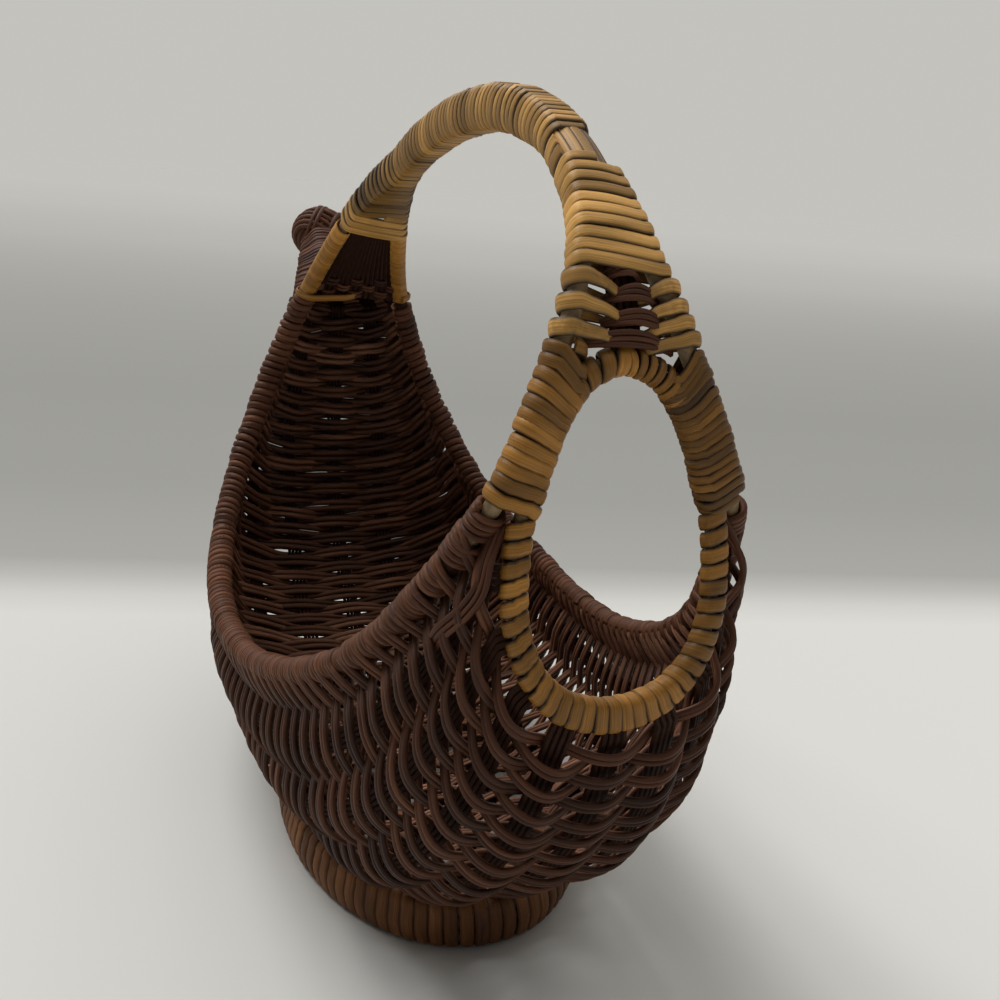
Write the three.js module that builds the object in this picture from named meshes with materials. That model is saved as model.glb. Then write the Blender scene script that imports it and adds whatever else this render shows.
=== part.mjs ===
// A bird-shaped egg basket of cane. Two side hoops make the handle, legs, rims and prongs. Nine ribs
// run from the tail ring under the belly to the breast, and flat weavers cross them from rim to rim.
// Millimetres, +Z up, +X towards the tail, +Y to the right when seen from the tail.
import * as THREE from 'three';

// Canes, by diameter
const hoopCane = 5.2;
const ringCane = 4.2;
const ribCane = 4;
const fillerCane = 4.4;
const footCane = 5.2;
const stakeCane = 3.6;

// Flat strips
const weaverWidth = 6;
const weaverThick = 1.6;
const wrapThick = 1;
const coilWidth = 3.4;
const clearance = 0.35;
const windingClearance = 0.5;

// Handle, rim, tail and neck, as places on the middle line of a side hoop
const handleHeight = 291;
const rimHalfWidth = 79;
const rimHeight = 87;
const tailReach = 130.5;
const tailHalfWidth = 37;
const tailHeight = 187;
const neckReach = 157;
const neckHalfWidth = 25;
const neckHeight = 205;
const shoulderDrop = 15;
const napeDrop = 41;
const napeSpread = 8;
const gableSpread = 8;
const gablePart = 0.63;

// Tail ring: an egg-shaped hoop that leans in at its top
const ringOutset = 4;
const ringReach = tailReach + ringOutset;
const ringHeight = 178.8;
const ringHalfHeight = 46.7;
const ringHalfWidth = 29.7;
const ringLean = 0.19;
const ringTaper = 0.22;
const ringFlare = 0.15;
const ringStandOff = 8.5;

// Belly
const bellyHeight = 14;
const throatRise = 22;
const breastReach = 191;
const breastHeight = 195;
const girthPower = 2.9;
const ribsPerSide = 4;
const neckRibsPerSide = 2;
const ribSpacing = 26;
const ribSpacingsAtNeck = 2.8;
const ribEndMargin = 12;
const ribEndPart = 0.7;
const passCount = 40;
const passesPerWeaver = 4;

// Neck and head
const headForward = 45;
const headReach = breastReach + headForward;
const headHeight = 230;
const headHalfLength = 9.5;
const headHalfWidth = 11.5;
const headHalfDepth = 9;
const neckTopRadius = 8;
const neckBackInset = 7;
const neckBackHalfWidth = 9;
const neckRibTurn = 45;
const neckBackTurn = 144;

// Foot: outer faces of the wound hoop
const footHalfLength = 85;
const footHalfWidth = 61;
const footHoops = 3;

// Windings: strip widths and turns
const handleStrip = 7.2;
const handleTurns = 21;
const gableStrip = 3.4;
const tailGableTurns = 7;
const neckGableTurns = 4;
const prongTurns = 5;
const bindingStrip = 2.3;
const bindingTurns = 5;
const ringStrip = 4.6;
const ringTurns = 15;
const ringTopTurns = 3;
const footStrip = 8.2;
const footTurns = 20;
const neckTurns = 9;
const headTurns = 4;

// Places along a hoop, counted from the prong's foot over the handle
const prongWrapStart = 9;
const neckGableStart = 40;
const panelStrandStart = 10;
const panelStrandStep = 8;
const panelStrandCount = 3;
const handleWrapStart = 64;
// Places along a hoop, counted up the leg from the tail
const bindingStart = 5;
const bindingEnd = 26;
const gableStrandStart = 47.5;
const gableStrandStep = 6.5;
const gableStrandCount = 3;
const tailGableStart = 69;
const handleWrapEnd = 110;

// Facets
const caneSides = 6;
const rimSpans = 20;
const frameSpans = 38;
const ringSpans = 32;
const footSpans = 36;
const loopSteps = 8;
const curveSamples = 160;
const fillerSpans = 24;
const girthSpans = 24;
const headSides = 10;
const headBands = 8;

const honeyCane = { color: 0x9c7038, roughness: 0.55, metalness: 0 };
const paleCane = { color: 0xb08a55, roughness: 0.6, metalness: 0 };
const darkCane = { color: 0x4d382c, roughness: 0.6, metalness: 0 };
const footCaneFinish = { color: 0x765026, roughness: 0.6, metalness: 0 };

const xAxis = new THREE.Vector3(1, 0, 0);
const yAxis = new THREE.Vector3(0, 1, 0);
const zAxis = new THREE.Vector3(0, 0, 1);
const sides = [{ name: 'left', sign: -1 }, { name: 'right', sign: 1 }];
const halfStep = Math.PI / loopSteps;

const basket = new THREE.Group();
const wallPieces = [];

function addPiece(name, geometry, finish) {
  const mesh = new THREE.Mesh(geometry, new THREE.MeshStandardMaterial(finish));
  mesh.name = name;
  basket.add(mesh);
  return mesh;
}

// Closes a row of equal rings into one body, with flat ends unless the row runs round to its start
function bodyFromRings(rings, closed = false) {
  const count = rings[0].length;
  const index = [];
  const spans = closed ? rings.length : rings.length - 1;
  for (let i = 0; i < spans; i++) {
    const here = i * count;
    const next = ((i + 1) % rings.length) * count;
    for (let k = 0; k < count; k++) {
      const after = (k + 1) % count;
      index.push(here + k, here + after, next + after, here + k, next + after, next + k);
    }
  }
  if (!closed) {
    const end = (rings.length - 1) * count;
    for (let k = 1; k < count - 1; k++) {
      index.push(0, k + 1, k, end, end + k, end + k + 1);
    }
  }
  const geometry = new THREE.BufferGeometry().setFromPoints(rings.flat());
  geometry.setIndex(index);
  geometry.computeVertexNormals();
  return geometry;
}

function direction(from, to) {
  return to.clone().sub(from).normalize();
}

// Unit tangent of a row of points, halfway between the steps that meet at point i
function tangentAt(points, i, closed = false) {
  const count = points.length;
  const before = closed ? (i + count - 1) % count : Math.max(i - 1, 0);
  const after = closed ? (i + 1) % count : Math.min(i + 1, count - 1);
  const tangent = new THREE.Vector3();
  if (before !== i) tangent.add(direction(points[before], points[i]));
  if (after !== i) tangent.add(direction(points[i], points[after]));
  return tangent.normalize();
}

// The part of a vector that is square to a unit direction, made one unit long
function squareTo(vector, unit) {
  return vector.clone().addScaledVector(unit, -vector.dot(unit)).normalize();
}

// A round cane along a row of points. The reference is never in line with the cane.
function cane(points, diameter, reference, closed = false) {
  const rings = points.map((point, i) => {
    const tangent = tangentAt(points, i, closed);
    const across = squareTo(reference, tangent);
    const up = tangent.clone().cross(across);
    return Array.from({ length: caneSides }, (_, k) => {
      const turn = (2 * Math.PI * k) / caneSides;
      return point.clone()
        .addScaledVector(across, (diameter / 2) * Math.cos(turn))
        .addScaledVector(up, (diameter / 2) * Math.sin(turn));
    });
  });
  return bodyFromRings(rings, closed);
}

// A flat strip through path stations. Each gives a point and the direction of the strip's width.
function strip(path, width, thickness) {
  const points = path.map((station) => station.at);
  const rings = path.map((station, i) => {
    const face = tangentAt(points, i).cross(station.along).normalize();
    const corner = (across, out) => station.at.clone()
      .addScaledVector(station.along, (across * width) / 2)
      .addScaledVector(face, (out * thickness) / 2);
    return [corner(-1, -1), corner(1, -1), corner(1, 1), corner(-1, 1)];
  });
  return bodyFromRings(rings);
}

function polyline(points) {
  const path = new THREE.CurvePath();
  for (let i = 1; i < points.length; i++) {
    path.add(new THREE.LineCurve3(points[i - 1], points[i]));
  }
  return path;
}

// Evenly spaced points on a closed curve between two of its parameters
function evenPoints(curve, from, to, spans) {
  const samples = Array.from({ length: curveSamples + 1 }, (_, i) => {
    const t = THREE.MathUtils.lerp(from, to, i / curveSamples);
    return curve.getPoint(THREE.MathUtils.euclideanModulo(t, 1));
  });
  const line = polyline(samples);
  return Array.from({ length: spans + 1 }, (_, i) => line.getPoint(i / spans));
}

// Stations of a strip wound round two canes, or round one when both are the same. canesAt gives, for a
// fraction of the winding, each cane's centre and direction and the way from the first to the second.
// Reach is from a cane's centre to the middle of the strip.
function windingPath(canesAt, turns, reach, rise = reach, startStep = 0) {
  const steps = Math.round(turns * loopSteps);
  return Array.from({ length: steps + 1 }, (_, i) => {
    const { first, second, across } = canesAt(i / steps);
    const step = (i + startStep) % loopSteps;
    const turn = -Math.PI / 2 + halfStep * (2 * step + 1);
    const { centre, along } = step < loopSteps / 2 ? second : first;
    const over = squareTo(across, along);
    const up = along.clone().cross(over);
    const at = centre.clone()
      .addScaledVector(over, (reach * Math.cos(turn)) / Math.cos(halfStep))
      .addScaledVector(up, (rise * Math.sin(turn)) / Math.cos(halfStep));
    return { at, along };
  });
}

// A place on a line of canes: its centre and direction at a fraction of the line's length
function placeOn(line, part) {
  return { centre: line.getPoint(part), along: line.getTangent(part) };
}

// Least distance between turns of a strip, measured on its stations, less the strip's width
function leastGap(path, width) {
  let least = Infinity;
  for (let i = 0; i < path.length; i++) {
    for (let k = i + loopSteps - 1; k < path.length; k++) {
      const along = path[k].at.clone().sub(path[i].at).dot(path[i].along);
      const apart = path[k].at.distanceTo(path[i].at);
      if (Math.abs(along) > apart / 2) least = Math.min(least, apart - width);
    }
  }
  return least;
}

function addWinding(name, path, width, thickness, finish) {
  console.log(`${name}: least gap to itself ${leastGap(path, width).toFixed(2)} mm`);
  addPiece(name, strip(path, width, thickness), finish);
}

// Height of a weaver's crest over a cane, so that its straight run to the next one clears the cane
function crest(reach, spacing) {
  return reach / Math.sqrt(1 - ((2 * reach) / spacing) ** 2);
}

// Side hoops, from the tail gable over the handle, down the prong and along the rim to the leg
const handleHalfWidth = (hoopCane + clearance) / 2;
const legTop = tailHeight + 15.5;
const shoulderHeight = handleHeight - shoulderDrop;
const hoopLine = [
  [85, handleHalfWidth + 1.2, shoulderHeight],
  [47.5, handleHalfWidth, handleHeight - 2],
  [11, handleHalfWidth, handleHeight],
  [-30, handleHalfWidth, handleHeight - 5],
  [-75, handleHalfWidth, handleHeight - 18],
  [-118.5, handleHalfWidth + napeSpread, handleHeight - napeDrop],
  [-neckReach, neckHalfWidth, neckHeight],
  [-160, 42.5, 160],
  [-129, 64.5, 112],
  [-64.5, rimHalfWidth, rimHeight],
  [11, rimHalfWidth - 2.5, rimHeight + 3],
  [89, 59.5, 128],
  [tailReach, tailHalfWidth, tailHeight],
  [tailReach + 1, tailHalfWidth - 6.5, legTop],
  [116, handleHalfWidth + gableSpread, THREE.MathUtils.lerp(legTop, shoulderHeight, gablePart)],
];
const neckIndex = 6;
const tailIndex = 12;

for (const side of sides) {
  const points = hoopLine.map(([x, y, z]) => new THREE.Vector3(x, side.sign * y, z));
  const curve = new THREE.CatmullRomCurve3(points, true, 'centripetal');
  const neck = neckIndex / hoopLine.length;
  const tail = tailIndex / hoopLine.length;
  side.rim = evenPoints(curve, tail, neck, rimSpans);
  side.frame = evenPoints(curve, neck, tail - 1, frameSpans);
  for (const point of side.frame) {
    point.y = side.sign * Math.max(Math.abs(point.y), handleHalfWidth);
  }
  side.frameLine = polyline(side.frame);
  const hoop = [...side.rim, ...side.frame.slice(1, -1)];
  addPiece(`${side.name}_side_hoop`, cane(hoop, hoopCane, yAxis, true), paleCane);
}
const [left, right] = sides;
const frameLength = left.frameLine.getLength();

// Both hoops at a place along them, as the two canes of a winding
function frameAt(place) {
  const first = placeOn(left.frameLine, place / frameLength);
  const second = placeOn(right.frameLine, place / frameLength);
  return { first, second, across: yAxis };
}

function frameMiddle(place) {
  const { first, second } = frameAt(place);
  return {
    centre: first.centre.clone().lerp(second.centre, 0.5),
    along: first.along.clone().add(second.along).normalize(),
  };
}

function framePlaces(from, to) {
  return (part) => frameAt(THREE.MathUtils.lerp(from, to, part));
}

// Handle: two filler canes in the grooves between the hoops, then the flat wrap round all four
const canesApart = (hoopCane + fillerCane) / 2 + clearance;
const fillerOffset = Math.sqrt(canesApart ** 2 - handleHalfWidth ** 2);
const wrapReach = hoopCane / 2 + windingClearance + wrapThick / 2;
const handleRise = fillerOffset + fillerCane / 2 + windingClearance + wrapThick / 2;
const handleEnd = frameLength - handleWrapEnd;
for (const [name, sign] of [['upper', 1], ['lower', -1]]) {
  const points = Array.from({ length: fillerSpans + 1 }, (_, i) => {
    const place = THREE.MathUtils.lerp(handleWrapStart, handleEnd, i / fillerSpans);
    const { centre, along } = frameMiddle(place);
    const up = yAxis.clone().cross(along).multiplyScalar(-1);
    return centre.addScaledVector(up, sign * fillerOffset);
  });
  addPiece(`handle_${name}_filler`, cane(points, fillerCane, yAxis), paleCane);
}
addWinding('handle_wrap', windingPath(framePlaces(handleWrapStart, handleEnd), handleTurns,
  wrapReach, handleRise), handleStrip, wrapThick, honeyCane);

// Gables, where the wrap goes round both hoops as they part
const tailGableEnd = handleEnd + handleStrip;
addWinding('tail_gable_wrap', windingPath(framePlaces(tailGableEnd, frameLength - tailGableStart),
  tailGableTurns, wrapReach), gableStrip, wrapThick, honeyCane);
const neckGableEnd = handleWrapStart - handleStrip;
addWinding('neck_gable_wrap', windingPath(framePlaces(neckGableStart, neckGableEnd),
  neckGableTurns, wrapReach), gableStrip, wrapThick, honeyCane);

// Prongs, each wound by itself, with a tie between their feet
for (const side of sides) {
  const oneProng = (part) => {
    const place = THREE.MathUtils.lerp(prongWrapStart, neckGableStart - 2 * gableStrip, part);
    const prong = placeOn(side.frameLine, place / frameLength);
    return { first: prong, second: prong, across: yAxis };
  };
  addWinding(`${side.name}_prong_wrap`, windingPath(oneProng, prongTurns, wrapReach),
    gableStrip, wrapThick, honeyCane);
}
addWinding('prong_tie', windingPath(framePlaces(0, gableStrip), 1, wrapReach),
  bindingStrip, wrapThick, honeyCane);

// Panel between the prongs: three stakes, held in the tie and in the wrap above, and strands behind them
const panelInset = (wrapReach + wrapThick / 2) / Math.cos(halfStep) + clearance;

function panelPoint(place, side) {
  const { centre } = frameMiddle(place);
  centre.y = side * (frameAt(place).second.centre.y - panelInset);
  return centre;
}
const panelStakeSides = [-0.5, 0, 0.5];
panelStakeSides.forEach((side, i) => {
  const ends = [panelPoint(0, side), panelPoint(neckGableStart + gableStrip, side)];
  addPiece(`panel_stake_${i + 1}`, cane(ends, stakeCane, yAxis), darkCane);
});
const strandsBehind = stakeCane / 2 + clearance + weaverThick / 2;
for (let i = 0; i < panelStrandCount; i++) {
  const place = panelStrandStart + i * panelStrandStep;
  const { along } = frameMiddle(place);
  const behind = along.clone().cross(yAxis).multiplyScalar(strandsBehind);
  const path = [-1, 1].map((side) => ({ at: panelPoint(place, side).add(behind), along }));
  addPiece(`panel_strand_${i + 1}`, strip(path, weaverWidth, weaverThick), darkCane);
}

// Tail ring
function ringPoint(turn) {
  const drop = Math.cos(turn);
  const width = ringHalfWidth * (1 - ringTaper * drop + ringFlare * drop * drop);
  return new THREE.Vector3(
    ringReach - ringLean * ringHalfHeight * drop,
    width * Math.sin(turn),
    ringHeight + ringHalfHeight * drop,
  );
}
const ringPoints = Array.from({ length: ringSpans }, (_, i) => ringPoint((2 * Math.PI * i) / ringSpans));
const ringLine = polyline([...ringPoints, ringPoints[0]]);
addPiece('tail_ring', cane(ringPoints, ringCane, xAxis, true), paleCane);

function ringBetween(from, to) {
  return (part) => {
    const place = placeOn(ringLine, THREE.MathUtils.lerp(from, to, part));
    return { first: place, second: place, across: xAxis };
  };
}

const ringWrapReach = ringCane / 2 + windingClearance + wrapThick / 2;
const ringLowStart = 0.3;
addWinding('tail_ring_wrap', windingPath(ringBetween(ringLowStart, 1 - ringLowStart), ringTurns,
  ringWrapReach), ringStrip, wrapThick, honeyCane);
const ringTopStart = 0.022;
const ringTopEnd = 0.08;
addWinding('right_ring_top_wrap', windingPath(ringBetween(ringTopStart, ringTopEnd), ringTopTurns,
  ringWrapReach), bindingStrip, wrapThick, honeyCane);
addWinding('left_ring_top_wrap', windingPath(ringBetween(1 - ringTopStart, 1 - ringTopEnd), ringTopTurns,
  ringWrapReach), bindingStrip, wrapThick, honeyCane);

// A closed loop's nearest point to another point, and its direction there
function nearestOn(loop, point) {
  let best;
  let least = Infinity;
  loop.forEach((from, i) => {
    const to = loop[(i + 1) % loop.length];
    const centre = new THREE.Line3(from, to).closestPointToPoint(point, true, new THREE.Vector3());
    const apart = centre.distanceTo(point);
    if (apart < least) {
      least = apart;
      best = { centre, along: direction(from, to) };
    }
  });
  return best;
}

// Bindings that hold the upper half of the ring to each leg
for (const side of sides) {
  const legAndRing = (part) => {
    const place = frameLength - THREE.MathUtils.lerp(bindingStart, bindingEnd, part);
    const leg = placeOn(side.frameLine, place / frameLength);
    const ring = nearestOn(ringPoints, leg.centre);
    ring.along.multiplyScalar(side.sign);
    return { first: leg, second: ring, across: direction(leg.centre, ring.centre) };
  };
  addWinding(`${side.name}_leg_binding`, windingPath(legAndRing, bindingTurns, wrapReach),
    bindingStrip, wrapThick, honeyCane);
}

// Gable between the legs: a stake on the ring, held in the wrap above, and strands across it
const strandPlaces = Array.from(
  { length: gableStrandCount }, (_, i) => gableStrandStart + i * gableStrandStep);
const stakePlaces = [...strandPlaces, tailGableStart + gableStrip];
const stakePoints = stakePlaces.map((place) => frameMiddle(frameLength - place).centre);
const stakeFoot = ringPoint(0)
  .addScaledVector(direction(ringPoint(0), stakePoints[0]), ringCane / 2 + clearance);
addPiece('gable_stake', cane([stakeFoot, ...stakePoints], stakeCane, yAxis), darkCane);
const strandTurns = 0.875;
strandPlaces.forEach((placeUpLeg, i) => {
  const place = frameLength - placeUpLeg;
  const path = windingPath(framePlaces(place, place), strandTurns, wrapReach, wrapReach, loopSteps / 2);
  addPiece(`gable_strand_${i + 1}`, strip(path, bindingStrip, wrapThick), honeyCane);
});

// Belly: half-girth curves hang from the rim to the keel. Ribs cross them at even spacings.
const ringBottom = ringPoint(Math.PI);
const keelLine = [
  [ringBottom.x + ringLean * ringStandOff, ringBottom.z - ringStandOff],
  [134, 88],
  [107, 48],
  [70, bellyHeight + 9],
  [0, bellyHeight],
  [-70, bellyHeight + 8],
  [-125, bellyHeight + throatRise],
  [3 - 0.9 * breastReach, 68],
  [3 - breastReach, 110],
  [-breastReach, 155],
  [-breastReach, breastHeight],
];
const keelCurve = new THREE.CatmullRomCurve3(
  keelLine.map(([x, z]) => new THREE.Vector3(x, 0, z)), false, 'centripetal');
const keelPoints = keelCurve.getSpacedPoints(rimSpans);
const rimColumn = ribsPerSide + 1;
const keelColumn = rimColumn;
const lastColumn = 2 * rimColumn;

function halfGirth(span) {
  const keel = keelPoints[span];
  const rim = right.rim[span];
  const points = [];
  for (let i = 0; i <= girthSpans; i++) {
    const turn = (Math.PI / 2) * (i / girthSpans);
    const out = Math.sin(turn) ** (2 / girthPower);
    const down = Math.cos(turn) ** (2 / girthPower);
    const point = rim.clone().lerp(keel, down);
    point.y = rim.y * out;
    points.push(point);
  }
  return polyline(points);
}

// Lattice of the wall: one row for each span of the rim, one column for each rib and both rims. Towards
// the neck the ribs keep their spacing, so the outer ones end short of the rim.
const girths = Array.from({ length: rimSpans + 1 }, (_, span) => halfGirth(span));
const girthLengths = girths.map((girth) => girth.getLength());
const widestRow = girthLengths.indexOf(Math.max(...girthLengths));
const lattice = girths.map((girth, row) => {
  const length = girthLengths[row];
  const even = length / rimColumn;
  const kept = Math.max(even, Math.min(ribSpacing, length / ribSpacingsAtNeck));
  const gap = row < widestRow ? even : kept;
  return Array.from({ length: lastColumn + 1 }, (_, column) => {
    const steps = Math.abs(column - keelColumn);
    const mayEnd = steps > neckRibsPerSide && steps < rimColumn;
    if (mayEnd && steps * gap > length - ribEndMargin) return null;
    const point = girth.getPoint(steps === rimColumn ? 1 : (steps * gap) / length);
    point.y *= Math.sign(column - keelColumn);
    return point;
  });
});

function rowAt(part) {
  return Math.min(Math.floor(part * rimSpans), rimSpans - 1);
}

function hasColumn(part, column) {
  return lattice[rowAt(part) + 1][column] !== null;
}

function latticePoint(part, column) {
  const row = rowAt(part);
  return lattice[row][column].clone().lerp(lattice[row + 1][column], part * rimSpans - row);
}

function latticeAlong(part, column) {
  const row = rowAt(part);
  return direction(lattice[row][column], lattice[row + 1][column]);
}

function nextColumn(part, column, step) {
  const next = column + step;
  return hasColumn(part, next) ? next : nextColumn(part, next, step);
}

function outward(part, column) {
  const before = latticePoint(part, nextColumn(part, column, -1));
  const after = latticePoint(part, nextColumn(part, column, 1));
  return latticeAlong(part, column).cross(after.sub(before)).normalize();
}

// Neck: the five middle ribs and two back stakes run together under the head
const headCentre = new THREE.Vector3(-headReach, 0, headHeight);
const neckBase = new THREE.Vector3(-(neckReach + breastReach) / 2, 0, (neckHeight + breastHeight) / 2);
const neckAxis = direction(neckBase, headCentre);
const neckUnder = neckAxis.clone().cross(yAxis);
const neckInner = neckTopRadius - ribCane / 2;
const neckTopDrop = headHalfLength * Math.sqrt(1 - (neckInner / headHalfWidth) ** 2) + clearance;
const neckTop = headCentre.clone().addScaledVector(neckAxis, -neckTopDrop);

function neckTopPoint(degrees) {
  const turn = THREE.MathUtils.degToRad(degrees);
  return neckTop.clone()
    .addScaledVector(neckUnder, neckTopRadius * Math.cos(turn))
    .addScaledVector(yAxis, neckTopRadius * Math.sin(turn));
}

const neckRibs = Array.from({ length: 2 * neckRibsPerSide + 1 }, (_, i) => {
  const step = i - neckRibsPerSide;
  const column = keelColumn + step;
  return { column, base: lattice[rimSpans][column], top: neckTopPoint(step * neckRibTurn) };
});
const backStakes = [right, left].map((side) => ({
  name: `${side.name}_neck_stake`,
  base: new THREE.Vector3(-neckReach - neckBackInset, side.sign * neckBackHalfWidth, neckHeight),
  top: neckTopPoint(side.sign * neckBackTurn),
}));
const neckStakes = [...neckRibs, ...backStakes];
for (const stake of backStakes) {
  addPiece(stake.name, cane([stake.base, stake.top], ribCane, yAxis), darkCane);
}

// Ribs, each from the ring's wrap along its column of the lattice
const ringOuter = (ringWrapReach + wrapThick / 2) / Math.cos(halfStep);
for (let column = 1; column < lastColumn; column++) {
  const first = lattice[0][column];
  const ringNear = nearestOn(ringPoints, first).centre;
  const start = ringNear.clone().addScaledVector(direction(ringNear, first), ringOuter + clearance);
  const points = [start, ...lattice.map((row) => row[column]).filter(Boolean)];
  if (lattice[rimSpans][column] === null) {
    const tip = points.pop();
    points.push(points.at(-1).clone().lerp(tip, ribEndPart));
  }
  const neckRib = neckRibs.find((rib) => rib.column === column);
  if (neckRib) points.push(neckRib.top);
  wallPieces.push(addPiece(`rib_${column}`, cane(points, ribCane, yAxis), darkCane));
}

// Weavers: one strand in passes from rim to rim, over one rib and under the next, turning over the rim
const ribReach = ribCane / 2 + weaverThick / 2 + windingClearance;
const rimReach = hoopCane / 2 + weaverThick / 2 + windingClearance;
const rimTurnSteps = 4;
const weaveEnd = 0.965;
const crestRounds = 12;

function faceOf(pass, column) {
  return (pass + column) % 2 === 0 ? 1 : -1;
}

function passPart(pass) {
  return (weaveEnd * (pass + 0.5)) / passCount;
}

// Crests of one pass. Each rises until the straight runs beside it clear the rib that it crosses.
function passStations(pass) {
  const part = passPart(pass);
  const inOrder = Array.from({ length: lastColumn - 1 }, (_, i) => i + 1);
  const columns = inOrder.filter((column) => hasColumn(part, column));
  if (pass % 2 === 1) columns.reverse();
  const ribs = columns.map((column) => ({
    centre: latticePoint(part, column),
    along: latticeAlong(part, column),
    out: outward(part, column).multiplyScalar(faceOf(pass, column)),
    rise: ribReach,
  }));
  const crestOf = (rib) => rib.centre.clone().addScaledVector(rib.out, rib.rise);
  for (let round = 0; round < crestRounds; round++) {
    const crests = ribs.map(crestOf);
    ribs.forEach((rib, i) => {
      const runs = [crests[i - 1], crests[i + 1]].filter(Boolean).map((end) => (
        new THREE.Line3(crests[i], end).closestPointToPoint(rib.centre, true, new THREE.Vector3())));
      const closest = Math.min(...runs.map((point) => point.distanceTo(rib.centre)));
      rib.rise *= Math.max(1, ribReach / closest);
    });
  }
  return ribs.map((rib) => ({ at: crestOf(rib), along: rib.along }));
}

function rimTurnStations(pass) {
  const column = pass % 2 === 0 ? lastColumn : 0;
  const inward = pass % 2 === 0 ? -1 : 1;
  const startFace = -faceOf(pass, nextColumn(passPart(pass), column, inward));
  return Array.from({ length: rimTurnSteps + 1 }, (_, i) => {
    const part = THREE.MathUtils.lerp(passPart(pass), passPart(pass + 1), i / rimTurnSteps);
    const rib = nextColumn(part, column, inward);
    const centre = latticePoint(part, column);
    const along = latticeAlong(part, column);
    const away = squareTo(centre.clone().sub(latticePoint(part, rib)), along);
    const out = squareTo(squareTo(outward(part, rib), along), away);
    const turn = (Math.PI * i) / rimTurnSteps;
    const onSide = i === 0 || i === rimTurnSteps;
    const overTop = rimReach / Math.cos(Math.PI / (2 * rimTurnSteps));
    const ribGap = centre.distanceTo(latticePoint(part, rib));
    const reach = onSide ? Math.max(overTop, crest(rimReach, ribGap)) : overTop;
    const at = centre
      .addScaledVector(out, startFace * reach * Math.cos(turn))
      .addScaledVector(away, reach * Math.sin(turn));
    return { at, along };
  });
}

const weaverCount = passCount / passesPerWeaver;
for (let weaver = 0; weaver < weaverCount; weaver++) {
  const firstPass = weaver * passesPerWeaver;
  const path = [];
  if (weaver > 0) path.push(...rimTurnStations(firstPass - 1).slice(-2));
  for (let pass = firstPass; pass < firstPass + passesPerWeaver; pass++) {
    path.push(...passStations(pass));
    const turn = pass + 1 < passCount ? rimTurnStations(pass) : [];
    const lastHere = pass === firstPass + passesPerWeaver - 1;
    path.push(...(lastHere ? turn.slice(0, 2) : turn));
  }
  const geometry = strip(path, weaverWidth, weaverThick);
  wallPieces.push(addPiece(`weaver_${weaver + 1}`, geometry, darkCane));
}

// Neck winding, laid round the polygon of the stakes at a fixed reach from each
const neckReachOut = ribCane / 2 + windingClearance + weaverThick / 2;
const neckWindStart = 0.07;
const neckWindEnd = 0.88;

function neckStation(step, steps) {
  const part = THREE.MathUtils.lerp(neckWindStart, neckWindEnd, step / steps);
  const count = neckStakes.length;
  const stakeAt = (k) => {
    const stake = neckStakes[(k + count) % count];
    return stake.base.clone().lerp(stake.top, part);
  };
  const k = step % count;
  const edgeOut = (from, to) => neckAxis.clone().cross(to.clone().sub(from)).normalize();
  const before = edgeOut(stakeAt(k - 1), stakeAt(k));
  const after = edgeOut(stakeAt(k), stakeAt(k + 1));
  const mitre = before.clone().add(after).multiplyScalar(neckReachOut / (1 + before.dot(after)));
  const stake = neckStakes[k];
  return { at: stakeAt(k).add(mitre), along: direction(stake.base, stake.top) };
}
const neckSteps = neckTurns * neckStakes.length;
const neckPath = Array.from({ length: neckSteps + 1 }, (_, i) => neckStation(i, neckSteps));
addWinding('neck_winding', neckPath, coilWidth, weaverThick, darkCane);

// Head: a core ball and the winding over it
const headFrame = new THREE.Matrix4().makeBasis(yAxis, neckAxis, yAxis.clone().cross(neckAxis));
const ball = new THREE.SphereGeometry(1, headSides, headBands);
ball.scale(headHalfWidth, headHalfLength, headHalfDepth);
ball.applyMatrix4(headFrame);
ball.translate(...headCentre);
addPiece('head_core', ball, darkCane);
const headLowest = THREE.MathUtils.degToRad(-22);
const headHighest = THREE.MathUtils.degToRad(68);
const headOut = clearance + weaverThick / 2;

function headPoint(part, turn) {
  const lift = THREE.MathUtils.lerp(headLowest, headHighest, part);
  const spread = 1 / Math.cos(halfStep);
  return new THREE.Vector3(
    (headHalfWidth + headOut) * spread * Math.cos(lift) * Math.cos(turn),
    (headHalfLength + headOut) * spread * Math.sin(lift),
    (headHalfDepth + headOut) * spread * Math.cos(lift) * Math.sin(turn),
  ).applyMatrix4(headFrame).add(headCentre);
}
const headSteps = headTurns * loopSteps;
const headPath = Array.from({ length: headSteps + 1 }, (_, i) => {
  const turn = 2 * halfStep * i;
  const part = i / headSteps;
  const nudge = 0.01;
  const along = direction(headPoint(part - nudge, turn), headPoint(part + nudge, turn));
  return { at: headPoint(part, turn), along };
});
addWinding('head_winding', headPath, coilWidth, weaverThick, darkCane);

// Foot: stacked oval hoops and the winding round them, in two lengths of cane. It is set as high as the
// wall over it allows.
const footReach = footCane / 2 + windingClearance + wrapThick / 2;
const footInset = footReach + wrapThick / 2;
const footStep = footCane + clearance;
const stackHeight = (footHoops - 1) * footStep;

function footOval(height) {
  return Array.from({ length: footSpans }, (_, i) => {
    const turn = (2 * Math.PI * i) / footSpans;
    return new THREE.Vector3(
      (footHalfLength - footInset) * Math.cos(turn),
      (footHalfWidth - footInset) * Math.sin(turn),
      height,
    );
  });
}
const footMiddle = footOval(0);

// Height of the wound foot over its base, at a distance across it from its middle line
function footTop(across) {
  const bevel = 2 * halfStep;
  const bevelled = (footInset - across * Math.sin(bevel)) / Math.cos(bevel);
  return footInset + stackHeight + Math.min(footInset, bevelled);
}

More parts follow.
